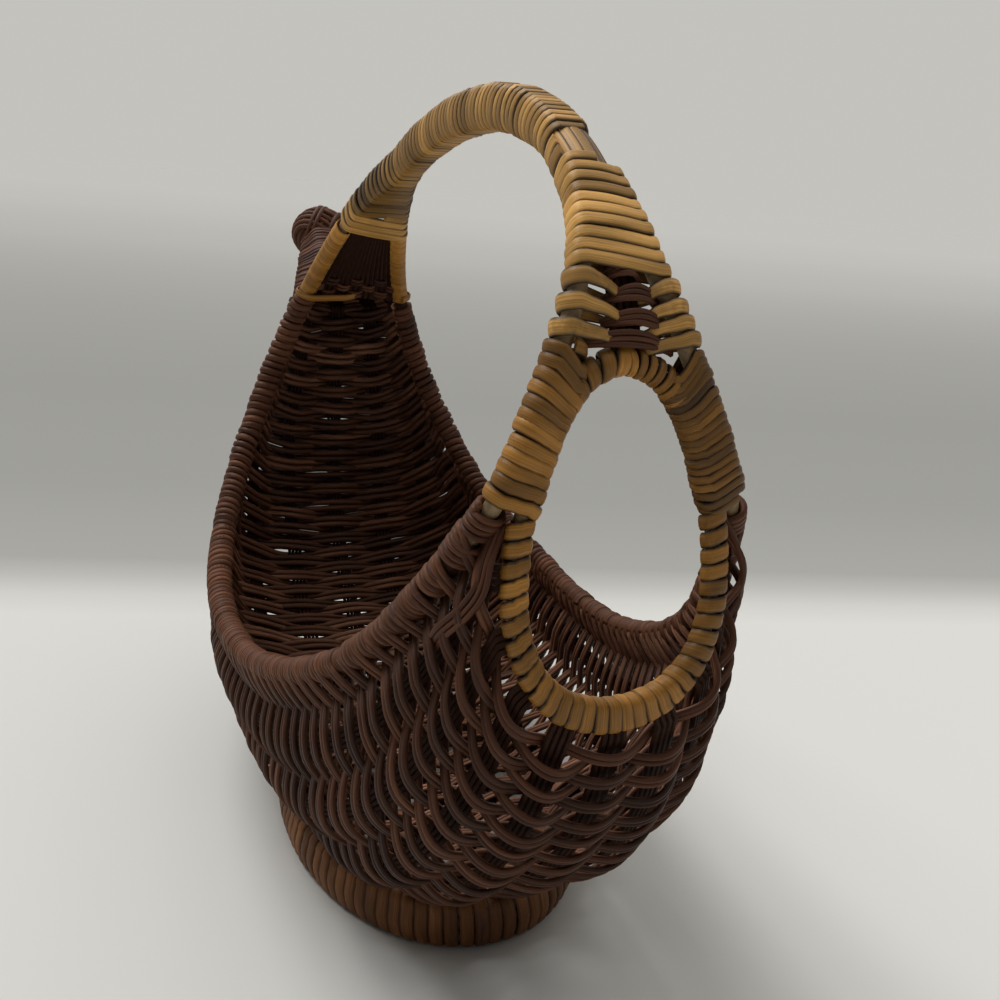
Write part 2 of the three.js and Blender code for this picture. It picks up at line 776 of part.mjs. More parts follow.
// Height of the foot's base, found by samples along every edge of the wall's canes and strips
function baseUnderWall() {
  const samplesPerEdge = 12;
  let highest = Infinity;
  const lower = (point) => {
    if (point.z - footTop(0) - clearance > highest) return;
    const plan = point.clone().setZ(0);
    const across = nearestOn(footMiddle, plan).centre.distanceTo(plan);
    if (across > footInset + clearance) return;
    highest = Math.min(highest, point.z - footTop(across) - clearance);
  };
  for (const { geometry } of wallPieces) {
    const corner = (k) => new THREE.Vector3().fromBufferAttribute(
      geometry.attributes.position, geometry.index.getX(k));
    for (let k = 0; k < geometry.index.count; k += 3) {
      for (const [from, to] of [[k, k + 1], [k + 1, k + 2], [k + 2, k]]) {
        for (let i = 0; i < samplesPerEdge; i++) lower(corner(from).lerp(corner(to), i / samplesPerEdge));
      }
    }
  }
  return highest;
}
const footBase = baseUnderWall();
const footOvals = Array.from({ length: footHoops }, (_, level) => (
  footOval(footBase + footInset + level * footStep)));
footOvals.forEach((oval, level) => {
  addPiece(`foot_hoop_${level + 1}`, cane(oval, footCane, zAxis, true), paleCane);
});
const lowestOval = polyline([...footOvals[0], footOvals[0][0]]);
const wrapEndGap = 0.012;
['right', 'left'].forEach((name, half) => {
  const stacked = (part) => {
    const place = THREE.MathUtils.lerp(half / 2 + wrapEndGap, (half + 1) / 2 - wrapEndGap, part);
    const first = placeOn(lowestOval, place);
    const second = { ...first, centre: first.centre.clone().addScaledVector(zAxis, stackHeight) };
    return { first, second, across: zAxis };
  };
  addWinding(`${name}_foot_wrap`, windingPath(stacked, footTurns, footReach),
    footStrip, wrapThick, footCaneFinish);
});

// Origin at the middle of the box, on the floor
const box = new THREE.Box3().setFromObject(basket);
const middle = box.getCenter(new THREE.Vector3());
basket.position.set(-middle.x, -middle.y, -box.min.z);

export default basket;
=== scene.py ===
"""Looks of a bird-shaped egg basket of cane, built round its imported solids."""
import math

import bpy
import numpy as np
from mathutils import Matrix, Vector


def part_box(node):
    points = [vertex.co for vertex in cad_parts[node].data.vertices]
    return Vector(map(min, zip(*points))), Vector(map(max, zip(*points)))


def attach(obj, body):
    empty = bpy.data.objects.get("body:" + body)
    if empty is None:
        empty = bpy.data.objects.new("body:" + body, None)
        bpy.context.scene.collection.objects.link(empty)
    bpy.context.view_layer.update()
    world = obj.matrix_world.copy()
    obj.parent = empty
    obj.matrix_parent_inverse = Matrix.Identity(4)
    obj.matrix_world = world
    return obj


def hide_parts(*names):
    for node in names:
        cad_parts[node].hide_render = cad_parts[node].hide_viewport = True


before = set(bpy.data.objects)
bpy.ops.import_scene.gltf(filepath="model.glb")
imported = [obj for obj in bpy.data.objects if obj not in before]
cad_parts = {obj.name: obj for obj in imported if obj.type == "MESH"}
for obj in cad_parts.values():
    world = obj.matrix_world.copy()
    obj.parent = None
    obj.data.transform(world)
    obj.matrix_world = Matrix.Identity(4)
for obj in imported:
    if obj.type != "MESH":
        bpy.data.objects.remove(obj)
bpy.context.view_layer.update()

bl_info = {
    "name": "Egg Basket",
    "version": (1, 0, 0),
    "blender": (4, 5, 0),
    "location": "View3D > Sidebar > Basket",
    "description": "Builds a woven, bird-shaped egg basket of cane piece by piece",
    "category": "Add Mesh",
}

MM = 1000

# Lines of the basket in millimetres, in the maker's frame: X to the tail, Z up, Y to the right
HOOP_HALF_GAP = 2.775
HOOP_LINE = [
    (85, 3.975, 276), (47.5, 2.775, 289), (11, 2.775, 291), (-30, 2.775, 286), (-75, 2.775, 273),
    (-118.5, 10.775, 250), (-157, 25, 205), (-160, 42.5, 160), (-129, 64.5, 112), (-64.5, 79, 87),
    (11, 76.5, 90), (89, 59.5, 128), (130.5, 37, 187), (131.5, 30.5, 202.5), (116, 10.775, 248.8),
]
NECK_INDEX = 6
TAIL_INDEX = 12
RING_MIDDLE = np.array([134.5, 0.0, 178.8])
RING_HALF_HEIGHT = 46.7
RING_HALF_WIDTH = 29.7
RING_LEAN = 0.19
KEEL_LINE = [
    (144.988, 0, 123.6), (134, 0, 88), (107, 0, 48), (70, 0, 23), (0, 0, 14), (-70, 0, 22),
    (-125, 0, 36), (-168.9, 0, 68), (-188, 0, 110), (-191, 0, 155), (-191, 0, 195),
]
GIRTH_POWER = 2.9
HEAD_CENTRE = np.array([-236.5, 0.0, 230.5])
NECK_BASE = np.array([-174.0, 0.0, 200.0])
NAPE = np.array([-164.0, 9.0, 205.0])
FOOT_HALF_LENGTH = 85.0
FOOT_HALF_WIDTH = 61.0
ACROSS = np.array([0.0, 1.0, 0.0])

lowest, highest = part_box("tail_ring")
SHIFT_Z = MM * (lowest.z + highest.z) / 2 - RING_MIDDLE[2]
lowest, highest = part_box("foot_hoop_1")
SHIFT = np.array([MM / 2 * (lowest.x + highest.x), 0.0, SHIFT_Z])
FOOT_BASE = -SHIFT_Z

# Share of its width that a cane takes up where it is pressed against the next
PRESSED = 0.93
CREASE_DEGREES = 50

rng = np.random.default_rng(11)


def unit(vectors):
    return vectors / np.linalg.norm(vectors, axis=-1, keepdims=True)


def square_to(vectors, axes):
    """The part of each vector that is square to its axis, at length one"""
    return unit(vectors - np.sum(vectors * axes, axis=-1, keepdims=True) * axes)


def bent_line(points, closed, places):
    """Points on the smooth curve that a springy cane takes through given points"""
    points = np.asarray(points, float)
    if closed:
        padded = np.vstack([points[-1:], points, points[:2]])
    else:
        padded = np.vstack([2 * points[0] - points[1], points, 2 * points[-1] - points[-2]])
    spans = len(padded) - 3
    steps = spans * np.asarray(places, float)
    index = np.minimum(np.floor(steps).astype(int), spans - 1)
    part = (steps - index)[:, None]
    before, start, end, after = (padded[index + k] for k in range(4))
    gap_0, gap_1, gap_2 = (
        np.sqrt(np.linalg.norm(b - a, axis=1, keepdims=True))
        for a, b in ((before, start), (start, end), (end, after)))
    leave = ((start - before) / gap_0 - (end - before) / (gap_0 + gap_1) + (end - start) / gap_1) * gap_1
    arrive = ((end - start) / gap_1 - (after - start) / (gap_1 + gap_2) + (after - end) / gap_2) * gap_1
    bend = 3 * (end - start) - 2 * leave - arrive
    twist = 2 * (start - end) + leave + arrive
    return start + leave * part + bend * part ** 2 + twist * part ** 3


def run_along(points):
    """Length of the way from the first point to each point"""
    return np.concatenate([[0], np.cumsum(np.linalg.norm(np.diff(points, axis=0), axis=1))])


def between_rows(at, marks, rows):
    """Rows between given ones, which stand at rising marks"""
    return np.stack([np.interp(at, marks, rows[:, k]) for k in range(3)], axis=-1)


def blended(vectors, places):
    """Directions between given ones, at fractions of the way from the first to the last"""
    vectors = np.array([unit(np.asarray(vector, float)) for vector in vectors])
    return unit(between_rows(np.asarray(places) * (len(vectors) - 1), np.arange(len(vectors)), vectors))


def knotted(knots, count):
    """A bent line and its ways out, from knots of a point and a way out"""
    points, ways = zip(*knots)
    places = np.linspace(0, 1, count)
    return bent_line(points, False, places), blended(ways, places)


class Line:
    """A line of points, looked up by the length along it"""

    def __init__(self, points):
        self.points = np.asarray(points, float)
        self.run = run_along(self.points)
        self.length = self.run[-1]

    def at(self, places):
        return between_rows(places, self.run, self.points)

    def heading(self, places):
        places = np.clip(places, 1.0, self.length - 1.0)
        return unit(self.at(places + 1.0) - self.at(places - 1.0))

    def even(self, count):
        return self.at(np.linspace(0, self.length, count))


def mirrored(points):
    return np.asarray(points) * (1, -1, 1)


def hoop_part(start, end):
    places = np.linspace(start, end, 900) / len(HOOP_LINE)
    return bent_line(HOOP_LINE, True, places % 1)


frame_points = hoop_part(NECK_INDEX, TAIL_INDEX - len(HOOP_LINE))
frame_points[:, 1] = np.maximum(frame_points[:, 1], HOOP_HALF_GAP)
right_frame = Line(frame_points)
left_frame = Line(mirrored(frame_points))
right_rim = Line(hoop_part(TAIL_INDEX, NECK_INDEX))
keel = Line(bent_line(KEEL_LINE, False, np.linspace(0, 1, 900)))
TAIL = right_frame.length


def frame_middle(place):
    return (left_frame.at(place) + right_frame.at(place)) / 2


def ring_points(turns):
    drop = np.cos(turns)
    width = RING_HALF_WIDTH * (1 - 0.22 * drop + 0.15 * drop ** 2)
    return RING_MIDDLE + np.stack([
        -RING_LEAN * RING_HALF_HEIGHT * drop, width * np.sin(turns), RING_HALF_HEIGHT * drop], axis=-1)


ring = Line(ring_points(np.linspace(0, 2 * math.pi, 721)))


class Wall:
    """The belly's surface, by a fraction from tail to neck and a length from the keel to a rim"""
    rows = 240
    columns = 120
    rib_spacing = 26.0
    spacings_at_neck = 2.8
    rib_end_margin = 12.0
    part_step = 0.012
    keel_step = 2.5

    def __init__(self):
        turn = np.linspace(0, math.pi / 2, 97)
        out = np.sin(turn) ** (2 / GIRTH_POWER)
        down = np.cos(turn) ** (2 / GIRTH_POWER)
        rims = right_rim.even(self.rows + 1)
        keels = keel.even(self.rows + 1)
        girths = rims[:, None] * (1 - down)[None, :, None] + keels[:, None] * down[None, :, None]
        girths[:, :, 1] = rims[:, None, 1] * out[None]
        lines = [Line(girth) for girth in girths]
        self.table = np.stack([line.even(self.columns + 1) for line in lines])
        self.lengths = np.array([line.length for line in lines])
        self.widest = np.argmax(self.lengths) / self.rows

    def half_girth(self, part):
        return np.interp(part, np.linspace(0, 1, self.rows + 1), self.lengths)

    def at(self, part, off_keel):
        part, off_keel = np.broadcast_arrays(np.asarray(part, float), np.asarray(off_keel, float))
        row = np.clip(part, 0, 1) * self.rows
        column = np.clip(np.abs(off_keel) / self.half_girth(part), 0, 1) * self.columns
        i = np.minimum(row.astype(int), self.rows - 1)
        k = np.minimum(column.astype(int), self.columns - 1)
        a = (row - i)[..., None]
        b = (column - k)[..., None]
        near = self.table[i, k] * (1 - b) + self.table[i, k + 1] * b
        far = self.table[i + 1, k] * (1 - b) + self.table[i + 1, k + 1] * b
        points = near * (1 - a) + far * a
        points[..., 1] *= np.sign(off_keel)
        return points

    def along(self, part, off_keel):
        """Direction from tail to neck, at a fixed share of the half girth"""
        share = off_keel / self.half_girth(part)
        behind, ahead = (np.clip(part + step, 0, 1) for step in (-self.part_step, self.part_step))
        return unit(self.at(ahead, share * self.half_girth(ahead))
                    - self.at(behind, share * self.half_girth(behind)))

    def out(self, part, off_keel):
        reach = self.half_girth(part)
        further = np.clip(off_keel + self.keel_step, -reach, reach)
        nearer = np.clip(off_keel - self.keel_step, -reach, reach)
        across = self.at(part, further) - self.at(part, nearer)
        return unit(np.cross(self.along(part, off_keel), across))

    def rib_gap(self, part):
        length = self.half_girth(part)
        even = length / 5
        kept = np.maximum(even, np.minimum(self.rib_spacing, length / self.spacings_at_neck))
        return np.where(part < self.widest, even, kept)

    def rib_end(self, rib):
        """Fraction of the wall at which a rib ends"""
        if abs(rib) <= 2:
            return 1.0
        parts = np.linspace(self.widest, 1, 400)
        past = abs(rib) * self.rib_gap(parts) > self.half_girth(parts) - self.rib_end_margin
        return parts[np.argmax(past)]


wall = Wall()
RIBS = range(-4, 5)
rib_ends = {rib: wall.rib_end(rib) for rib in RIBS}


def strip_profile(width, thickness):
    """Section of a flat strip with a rounded back: places across it and heights"""
    right = [(1, 0), (1, 0.3), (0.78, 0.74), (0.36, 0.95)]
    left = [(-across, height) for across, height in reversed(right)]
    return np.array(right + left) * (width / 2, thickness)


def round_profile(diameter, sides=6):
    turns = 2 * math.pi * np.arange(sides) / sides
    return np.stack([np.cos(turns), np.sin(turns)], axis=1) * diameter / 2


def uneven_tones(count, every):
    """Tones that wander along a length of cane"""
    knots = rng.random(count // every + 3)
    return np.interp(np.arange(count) / every, np.arange(len(knots)), knots)


class Strands:
    """Lengths of cane that are laid one by one and become one mesh"""

    def __init__(self):
        self.points = []
        self.faces = []
        self.places = []
        self.tones = []
        self.count = 0

    def lay(self, centre, out, profile, tone=None, flat=True, spread=None):
        """Lays one length along its middle line, with its back to the given side"""
        tone = rng.random() if tone is None else tone
        along = unit(np.gradient(centre, axis=0))
        back = square_to(out, along)
        side = np.cross(back, along)
        if spread is not None:
            side = side * np.asarray(spread)[:, None]
        rings = (centre[:, None] + side[:, None] * profile[None, :, :1] + back[:, None] * profile[None, :, 1:])
        steps, sides = rings.shape[:2]
        index = self.count + np.arange(steps * sides).reshape(steps, sides)
        ahead = np.roll(index, -1, axis=1)
        quads = np.stack([index[:-1], ahead[:-1], ahead[1:], index[1:]], axis=-1).reshape(-1, 4)
        self.faces.extend(quads.tolist())
        self.faces.append(index[0, ::-1].tolist())
        self.faces.append(index[-1].tolist())
        run = run_along(centre) / MM
        if flat:
            across = (profile[:, 0] / np.abs(profile[:, 0]).max() + 1) / 2
            across_next = np.roll(across, -1)
        else:
            across = np.arange(sides) / sides + 0.25
            across_next = across + 1 / sides
        u = np.broadcast_to(run[:, None], (steps, sides))
        v, w = (np.broadcast_to(row, (steps - 1, sides)) for row in (across, across_next))
        corners = np.stack([u[:-1], v, u[:-1], w, u[1:], w, u[1:], v], axis=-1)
        self.places.append(corners.reshape(-1, 2))
        self.places.append(np.stack([u[0], across], -1)[::-1])
        self.places.append(np.stack([u[-1], across], -1))
        self.points.append(rings.reshape(-1, 3))
        self.tones.append(np.repeat(np.broadcast_to(tone, (steps,)), sides))
        self.count += steps * sides

    def wrap(self, wound, width, thickness, waver, tone_every, painted_light_shift=0.0):
        """Lays a wound strip with the unevenness of handwork; a tone shift above zero is painted light and one
        below zero painted shade
        """
        centre, out = wound
        line = wavering(centre, *waver)
        self.lay(line, out, strip_profile(width, thickness), uneven_tones(len(centre), tone_every) + painted_light_shift)

    def lay_row(self, centre, out, beside, diameter, count=2, tone=None, spread=1.0):
        """Lays round canes side by side"""
        tone = rng.random() if tone is None else tone
        spread = np.broadcast_to(spread, (len(centre),))[:, None]
        for k in range(count):
            shade = np.clip(tone + 0.15 * rng.uniform(-1, 1), 0, 1)
            offset = PRESSED * diameter * (k - (count - 1) / 2)
            line = wavering(centre + offset * spread * beside, 0.05 * diameter, 14)
            self.lay(line, out, round_profile(diameter * rng.uniform(0.94, 1.06)), shade, flat=False)

    def piece(self, name, finish, nodes, crease=CREASE_DEGREES):
        """Makes the piece. Round cane is smooth all round, and a strip keeps its edges."""
        points = (np.concatenate(self.points) + SHIFT) / MM
        mesh = bpy.data.meshes.new(name)
        mesh.from_pydata(points.tolist(), [], self.faces)
        layer = mesh.uv_layers.new(name="UVMap")
        layer.data.foreach_set("uv", np.concatenate(self.places).astype(np.float32).ravel())
        tone = mesh.attributes.new("tone", "FLOAT", "POINT")
        tone.data.foreach_set("value", np.concatenate(self.tones).astype(np.float32))
        piece = add_object(name, mesh)
        bpy.ops.object.select_all(action="DESELECT")
        piece.select_set(True)
        bpy.context.view_layer.objects.active = piece
        if finish == "dark_weave":
            bpy.ops.object.shade_smooth()
        else:
            bpy.ops.object.shade_smooth_by_angle(angle=math.radians(crease))
        finished(piece, finish, nodes)


def add_object(name, data):
    added = bpy.data.objects.new(name, data)
    bpy.context.scene.collection.objects.link(added)
    return added


def finished(piece, finish, nodes):
    """Gives a piece its finish and sets it on the basket in place of its solids"""
    piece.data.materials.clear()
    piece.data.materials.append(finish_named(finish))
    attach(piece, "root")
    if nodes:
        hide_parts(*nodes)


def bent_canes(name, lines, diameter, finish, nodes, closed=False, resolution=3):
    """Round canes bent along lines, as one piece"""
    bpy.ops.object.select_all(action="DESELECT")
    bpy.ops.curve.primitive_nurbs_path_add(location=(0, 0, 0))
    cane = bpy.context.object
    cane.name = name
    cane.data.name = name
    cane.data.dimensions = "3D"
    cane.data.splines.clear()
    for line in lines:
        spline = cane.data.splines.new("POLY")
        points = (np.asarray(line) + SHIFT) / MM
        spline.points.add(len(points) - 1)
        spline.points.foreach_set("co", np.column_stack([points, np.ones(len(points))]).ravel())
        spline.use_cyclic_u = closed
        spline.use_smooth = True
    cane.data.bevel_depth = diameter / 2 / MM
    cane.data.bevel_resolution = resolution
    cane.data.use_fill_caps = not closed
    bpy.ops.object.convert(target="MESH")
    bpy.ops.object.shade_smooth_by_angle(angle=math.radians(CREASE_DEGREES))
    finished(bpy.context.object, finish, nodes)


def uneven_pace(turns, amount):
    """A pace at which some turns lie a little closer than others"""
    steps = rng.uniform(1 - amount, 1 + amount, math.ceil(turns))
    marks = np.concatenate([[0], np.cumsum(steps)])
    return lambda share: np.interp(share, np.linspace(0, 1, len(marks)), marks / marks[-1])


def wind(first, second, start, end, turns, reach, rise=None, hand=1, bow=0.0, arc=9, flat=0, across=ACROSS,
         phase=0.0, lean=0.0, corner=1.0, pace=None):
    """Middle line of a strip wound round two canes, and the way out from them at each point.

    first and second give the canes' middles for lengths along them. Reach is across the canes from a
    cane's middle, and rise is square to that. Bow lifts the strip between the canes, lean slants it from
    the first cane to the second, and a corner below one makes the turns boxier."""
    quarter = math.pi / 2
    bends = arc + 1 if flat else arc
    straight = np.arange(1, flat) / max(flat, 1)
    weights = np.concatenate([np.ones(bends), 1 - straight, np.zeros(bends), straight])
    turn = np.concatenate([
        np.linspace(-quarter, quarter, arc + 1)[:bends], quarter + 0 * straight,
        np.linspace(quarter, 3 * quarter, arc + 1)[:bends], 3 * quarter + 0 * straight])
    total = round(turns * len(turn))
    step = (np.arange(total + 1) + round(phase * len(turn))) % len(turn)
    weight = weights[step][:, None]
    angle = hand * turn[step][:, None]
    share = np.arange(total + 1) / total
    places = start + (end - start) * (share if pace is None else pace(share))
    gap = np.linalg.norm(second(places) - first(places), axis=-1)
    places = places + lean * gap * (weight[:, 0] - 0.5)
    a, b = first(places), second(places)
    ahead = first(places + 1) + second(places + 1)
    behind = first(places - 1) + second(places - 1)
    along = unit(ahead - behind)
    over = square_to(across(places) if callable(across) else np.asarray(across, float), along)
    up = np.cross(along, over)
    height = reach if rise is None else rise(places)[:, None] if callable(rise) else rise
    cosine, sine = np.cos(angle), np.sin(angle)
    out = cosine * over + sine * up
    lift = bow * np.sin(math.pi * weight)
    wide = np.sign(cosine) * np.abs(cosine) ** corner
    tall = np.sign(sine) * np.abs(sine) ** corner
    centre = a + (b - a) * weight + (reach * wide) * over + ((height + lift) * tall) * up
    return centre, out


def wind_both(start, end, turns, reach, rise, **shape):
    """A strip wound round both sides of the handle's frame"""
    return wind(left_frame.at, right_frame.at, start, end, turns, reach, rise, **shape)


def wavering(lines, amount, every):
    """Adds the slight unevenness of handwork to a laid line"""
    count = len(lines)
    knots = rng.normal(0, amount, (count // every + 4, 3))
    at = np.linspace(0, len(knots) - 1, count)
    return lines + between_rows(at, np.arange(len(knots)), knots)


# Finishes

SHADE_PLACES = (0.28, 0.46, 0.64, 0.86)
WARM_TINT = (1.25, 1.0, 0.6)
TONE_SHARE = 0.26


def new_finish(name):
    finish = bpy.data.materials.new(name)
    finish.use_nodes = True
    return finish, finish.node_tree, finish.node_tree.nodes["Principled BSDF"]


def connect(tree, node, inputs):
    """Links the inputs that are given a socket, and sets the others"""
    for key, value in inputs.items():
        if isinstance(value, bpy.types.NodeSocket):
            tree.links.new(value, node.inputs[key])
        else:
            node.inputs[key].default_value = value


def add_node(tree, kind, inputs=None, **settings):
    """Adds a shader node and gives its outputs"""
    node = tree.nodes.new("ShaderNode" + kind)
    for key, value in settings.items():
        setattr(node, key, value)
    connect(tree, node, inputs or {})
    return node.outputs


def add_ramp(tree, driver, stops):
    node = tree.nodes.new("ShaderNodeValToRGB")
    elements = node.color_ramp.elements
    while len(elements) < len(stops):
        elements.new(0.5)
    for element, (position, color) in zip(elements, stops):
        element.position = position
        element.color = (*color, 1)
    tree.links.new(driver, node.inputs["Fac"])
    return node.outputs["Color"]


def linear(color):
    return tuple((c / 255 / 12.92) if c / 255 <= 0.04045 else ((c / 255 + 0.055) / 1.055) ** 2.4 for c in color)


def shades(color, shares):
    """Darker and paler shades of a cane's colour, as stops of a ramp"""
    stops = []
    for position, factor in zip(SHADE_PLACES, shares):
        pale = max(0.0, factor - 1) * 0.1 * sum(color)
        stops.append((position, tuple(min(1.0, c * factor + pale * t) for c, t in zip(color, WARM_TINT))))
    return stops


def cane_finish(name, color, shares=(0.18, 0.64, 1.25, 2.5), edge=(0.1, 0.1, 0.1), painted_edge_width=0.22,
                fibre=(30.0, 17.0), roughness=(0.34, 0.6), specular=0.27, coat=0.0, bump=0.4):
    """Cane with lengthwise fibres, uneven colour along each length, and edges multiplied by a factor that
    paints shade below one and light above one
    """
    finish, tree, shader = new_finish(name)
    uv = add_node(tree, "UVMap")["UV"]
    split = add_node(tree, "SeparateXYZ", {0: uv})
    tone = add_node(tree, "Attribute", attribute_name="tone")["Fac"]

    def scaled(socket, factor):
        return add_node(tree, "Math", {0: socket, 1: factor}, operation="MULTIPLY")[0]

    def noise(u_scale, v_scale, seed_scale, detail, rough):
        place = add_node(tree, "CombineXYZ", {
            "X": scaled(split["X"], u_scale), "Y": scaled(split["Y"], v_scale),
            "Z": scaled(tone, seed_scale)})[0]
        return add_node(tree, "TexNoise", {
            "Vector": place, "Scale": 1.0, "Detail": detail, "Roughness": rough})["Fac"]

    fibres = noise(*fibre, 3.0, 3.0, 0.6)
    patches = noise(16.0, 0.6, 5.0, 2.0, 0.55)
    mixed = add_node(tree, "Mix", {"Factor": 0.5, "A": fibres, "B": patches}, data_type="FLOAT")["Result"]
    shaded = add_node(tree, "Math", {0: tone, 1: TONE_SHARE, 2: mixed}, operation="MULTIPLY_ADD")[0]
    ramp = add_ramp(tree, shaded, shades(color, shares))
    # Painted light and shade at the edges. On a strip the band runs along both edges, and a factor below one
    # paints the shade of the seams between strips. On a round cane the band runs along the side that faces in,
    # and a factor above one paints light there.
    inward = add_node(tree, "Math", {0: split["Y"], 1: 0.5}, operation="PINGPONG")[0]
    rim = add_node(tree, "MapRange", {
        "Value": inward, "From Min": 0.0, "From Max": painted_edge_width, "To Min": 1.0, "To Max": 0.0},
        interpolation_type="SMOOTHSTEP")["Result"]
    painted_edge_color = add_node(tree, "Mix", {"Factor": rim, "A": ramp, "B": (*edge, 1)},
                      data_type="RGBA", blend_type="MULTIPLY")["Result"]
    sleek, rough = roughness
    gloss = add_node(tree, "MapRange", {
        "Value": fibres, "From Min": 0.3, "From Max": 0.7, "To Min": sleek, "To Max": rough})["Result"]
    relief = add_node(tree, "Bump", {"Strength": bump, "Distance": 0.0004, "Height": fibres})["Normal"]
    connect(tree, shader, {
        "Base Color": painted_edge_color, "Roughness": gloss, "Normal": relief, "Specular IOR Level": specular,
        "Coat Weight": coat, "Coat Roughness": 0.3})
    return finish


def round_cane_finish(name, color, specular=0.35):
    """Round cane whose speckled colour follows its place on the basket"""
    finish, tree, shader = new_finish(name)
    place = add_node(tree, "TexCoord")["Object"]
    speckle = add_node(tree, "TexNoise", {
        "Vector": place, "Scale": 420.0, "Detail": 4.0, "Roughness": 0.65})["Fac"]
    ramp = add_ramp(tree, speckle, shades(color, (0.5, 0.85, 1.1, 1.5)))
    relief = add_node(tree, "Bump", {"Strength": 0.3, "Distance": 0.0003, "Height": speckle})["Normal"]
    connect(tree, shader, {
        "Base Color": ramp, "Normal": relief, "Roughness": 0.55, "Specular IOR Level": specular})
    return finish


def finish_named(name):
    """The finish of that name, mixed from the chosen colours when it is first asked for"""
    if name in bpy.data.materials:
        return bpy.data.materials[name]
    colors = bpy.context.scene.basket_colors
    if name == "pale_round":
        return round_cane_finish(name, colors.pale)
    if name == "dark_round":
        return round_cane_finish(name, tuple(0.6 * c for c in colors.dark), specular=0.1)
    # The edge factors paint light and shade. Honey and amber strips get painted shade in their seams, and the
    # prong and foot strips a softer painted shade. The dark weave gets painted light on the inward side of each
    # cane.
    color, looks = {
        "honey_strip": (colors.honey, {"coat": 0.1}),
        "amber_strip": (colors.amber, {"coat": 0.06}),
        "prong_strip": (colors.amber, {"coat": 0.06, "edge": (0.6, 0.6, 0.6), "painted_edge_width": 0.2}),
        "foot_strip": (colors.foot, {"edge": (0.5, 0.5, 0.5), "specular": 0.15}),
        "dark_weave": (colors.dark, {
            "shares": (0.18, 0.62, 1.45, 3.3), "edge": (2.6, 3.2, 3.8), "painted_edge_width": 0.28,
            "fibre": (60.0, 6.0), "roughness": (0.42, 0.68), "specular": 0.18, "bump": 0.3}),
    }[name]
    return cane_finish(name, color, **looks)


# Settings

def length(name, description, millimetres):
    return bpy.props.FloatProperty(
        name=name, description=description, default=millimetres / MM, min=0.0, unit="LENGTH", precision=4)


def cane_color(name, description, color):
    return bpy.props.FloatVectorProperty(
        name=name, description=description, default=linear(color), size=3, min=0.0, max=1.0, subtype="COLOR")


class BasketWeave(bpy.types.PropertyGroup):
    """Sizes of the woven belly"""
    passes: bpy.props.IntProperty(
        name="Passes", description="Passes of double cane from rim to rim", default=109, min=20)
    cane: length("Cane", "Diameter of one weaving cane at the tail", 2.05)
    crest_out: length("Crest outside", "Rise of a cane over a rib", 4.3)
    crest_in: length("Crest inside", "Dip of a cane behind a rib", 3.2)
    rim_reach: length("Rim turns", "Distance of the turns from the rim's middle", 4.0)
    rim_core: length("Rim core", "Diameter of the cane inside the rim's turns", 6.6)


class BasketWraps(bpy.types.PropertyGroup):
    """Widths of the honey-coloured strips"""
    handle: length("Handle strip", "Width of the strip round the handle", 3.7)
    gable: length("Gable strip", "Width of the strip round both legs", 4.1)
    loop: length("Loop strip", "Width of the loops under the gable", 4.9)
    ring: length("Ring strip", "Width of the strip round the tail ring", 4.5)
    left_binding: length("Left binding", "Width of the strip that ties the ring to the left leg", 4.2)
    right_binding: length("Right binding", "Width of the strip that ties the ring to the right leg", 2.8)
    foot: length("Foot strip", "Width of the strip round the foot", 5.3)


class BasketNeck(bpy.types.PropertyGroup):
    """Sizes of the neck and the knob head"""
    turns: bpy.props.IntProperty(
        name="Turns", description="Turns of double cane round the neck", default=13, min=4)
    cane: length("Cane", "Diameter of one winding cane", 2.9)
    head_width: length("Head width", "Width of the knob head without its winding", 27.0)
    head_length: length("Head length", "Length of the knob head along the neck", 24.0)


class BasketColors(bpy.types.PropertyGroup):
    """Colours of the canes"""
    honey: cane_color("Honey", "Split cane of the handle and gables", (158, 117, 56))
    # Amber is a deeper, more saturated colour of the split cane, and is also darkened as painted shade for the
    # ring and bindings, whose upright faces get less light.
    amber: cane_color("Amber", "Split cane of the tail ring and prongs", (128, 86, 25))
    pale: cane_color("Pale", "Bare round cane of the hoops", (150, 126, 94))
    dark: cane_color("Dark", "Stained cane of the weave", (61, 34, 21))
    foot: cane_color("Foot", "Stained split cane of the foot", (92, 56, 27))


class BasketStage(bpy.types.PropertyGroup):
    """Floor and light"""
    floor: cane_color("Floor", "Colour of the floor", (219, 219, 215))
    daylight: bpy.props.FloatProperty(
        name="Daylight", description="Strength of the soft light from above and behind", default=0.85, min=0.0)
    sun: bpy.props.FloatProperty(
        name="Window light", description="Strength of the soft light from one side", default=1.9, min=0.0)
    softness: bpy.props.FloatProperty(
        name="Softness", description="Spread of the light from one side", default=math.radians(38),
        subtype="ANGLE", unit="ROTATION")


SETTINGS = {
    "basket_weave": BasketWeave, "basket_wraps": BasketWraps, "basket_neck": BasketNeck,
    "basket_colors": BasketColors, "basket_stage": BasketStage,
}
OPERATORS = []


def operator(cls):
    OPERATORS.append(cls)
    return cls


HOOP_CANE = 5.2
RING_CANE = 4.2
RIM_CORE_START = 14
RIB_CANE = 2.0
RIB_CANES = 4
NECK_AXIS = unit(HEAD_CENTRE - NECK_BASE)
NECK_UNDER = np.cross(NECK_AXIS, ACROSS)
NECK_TOP = HEAD_CENTRE - 8.4 * NECK_AXIS
NECK_TOP_RADIUS = 8.5


def neck_top(degrees):
    turn = math.radians(degrees)
    return NECK_TOP + NECK_TOP_RADIUS * (math.cos(turn) * NECK_UNDER + math.sin(turn) * ACROSS)


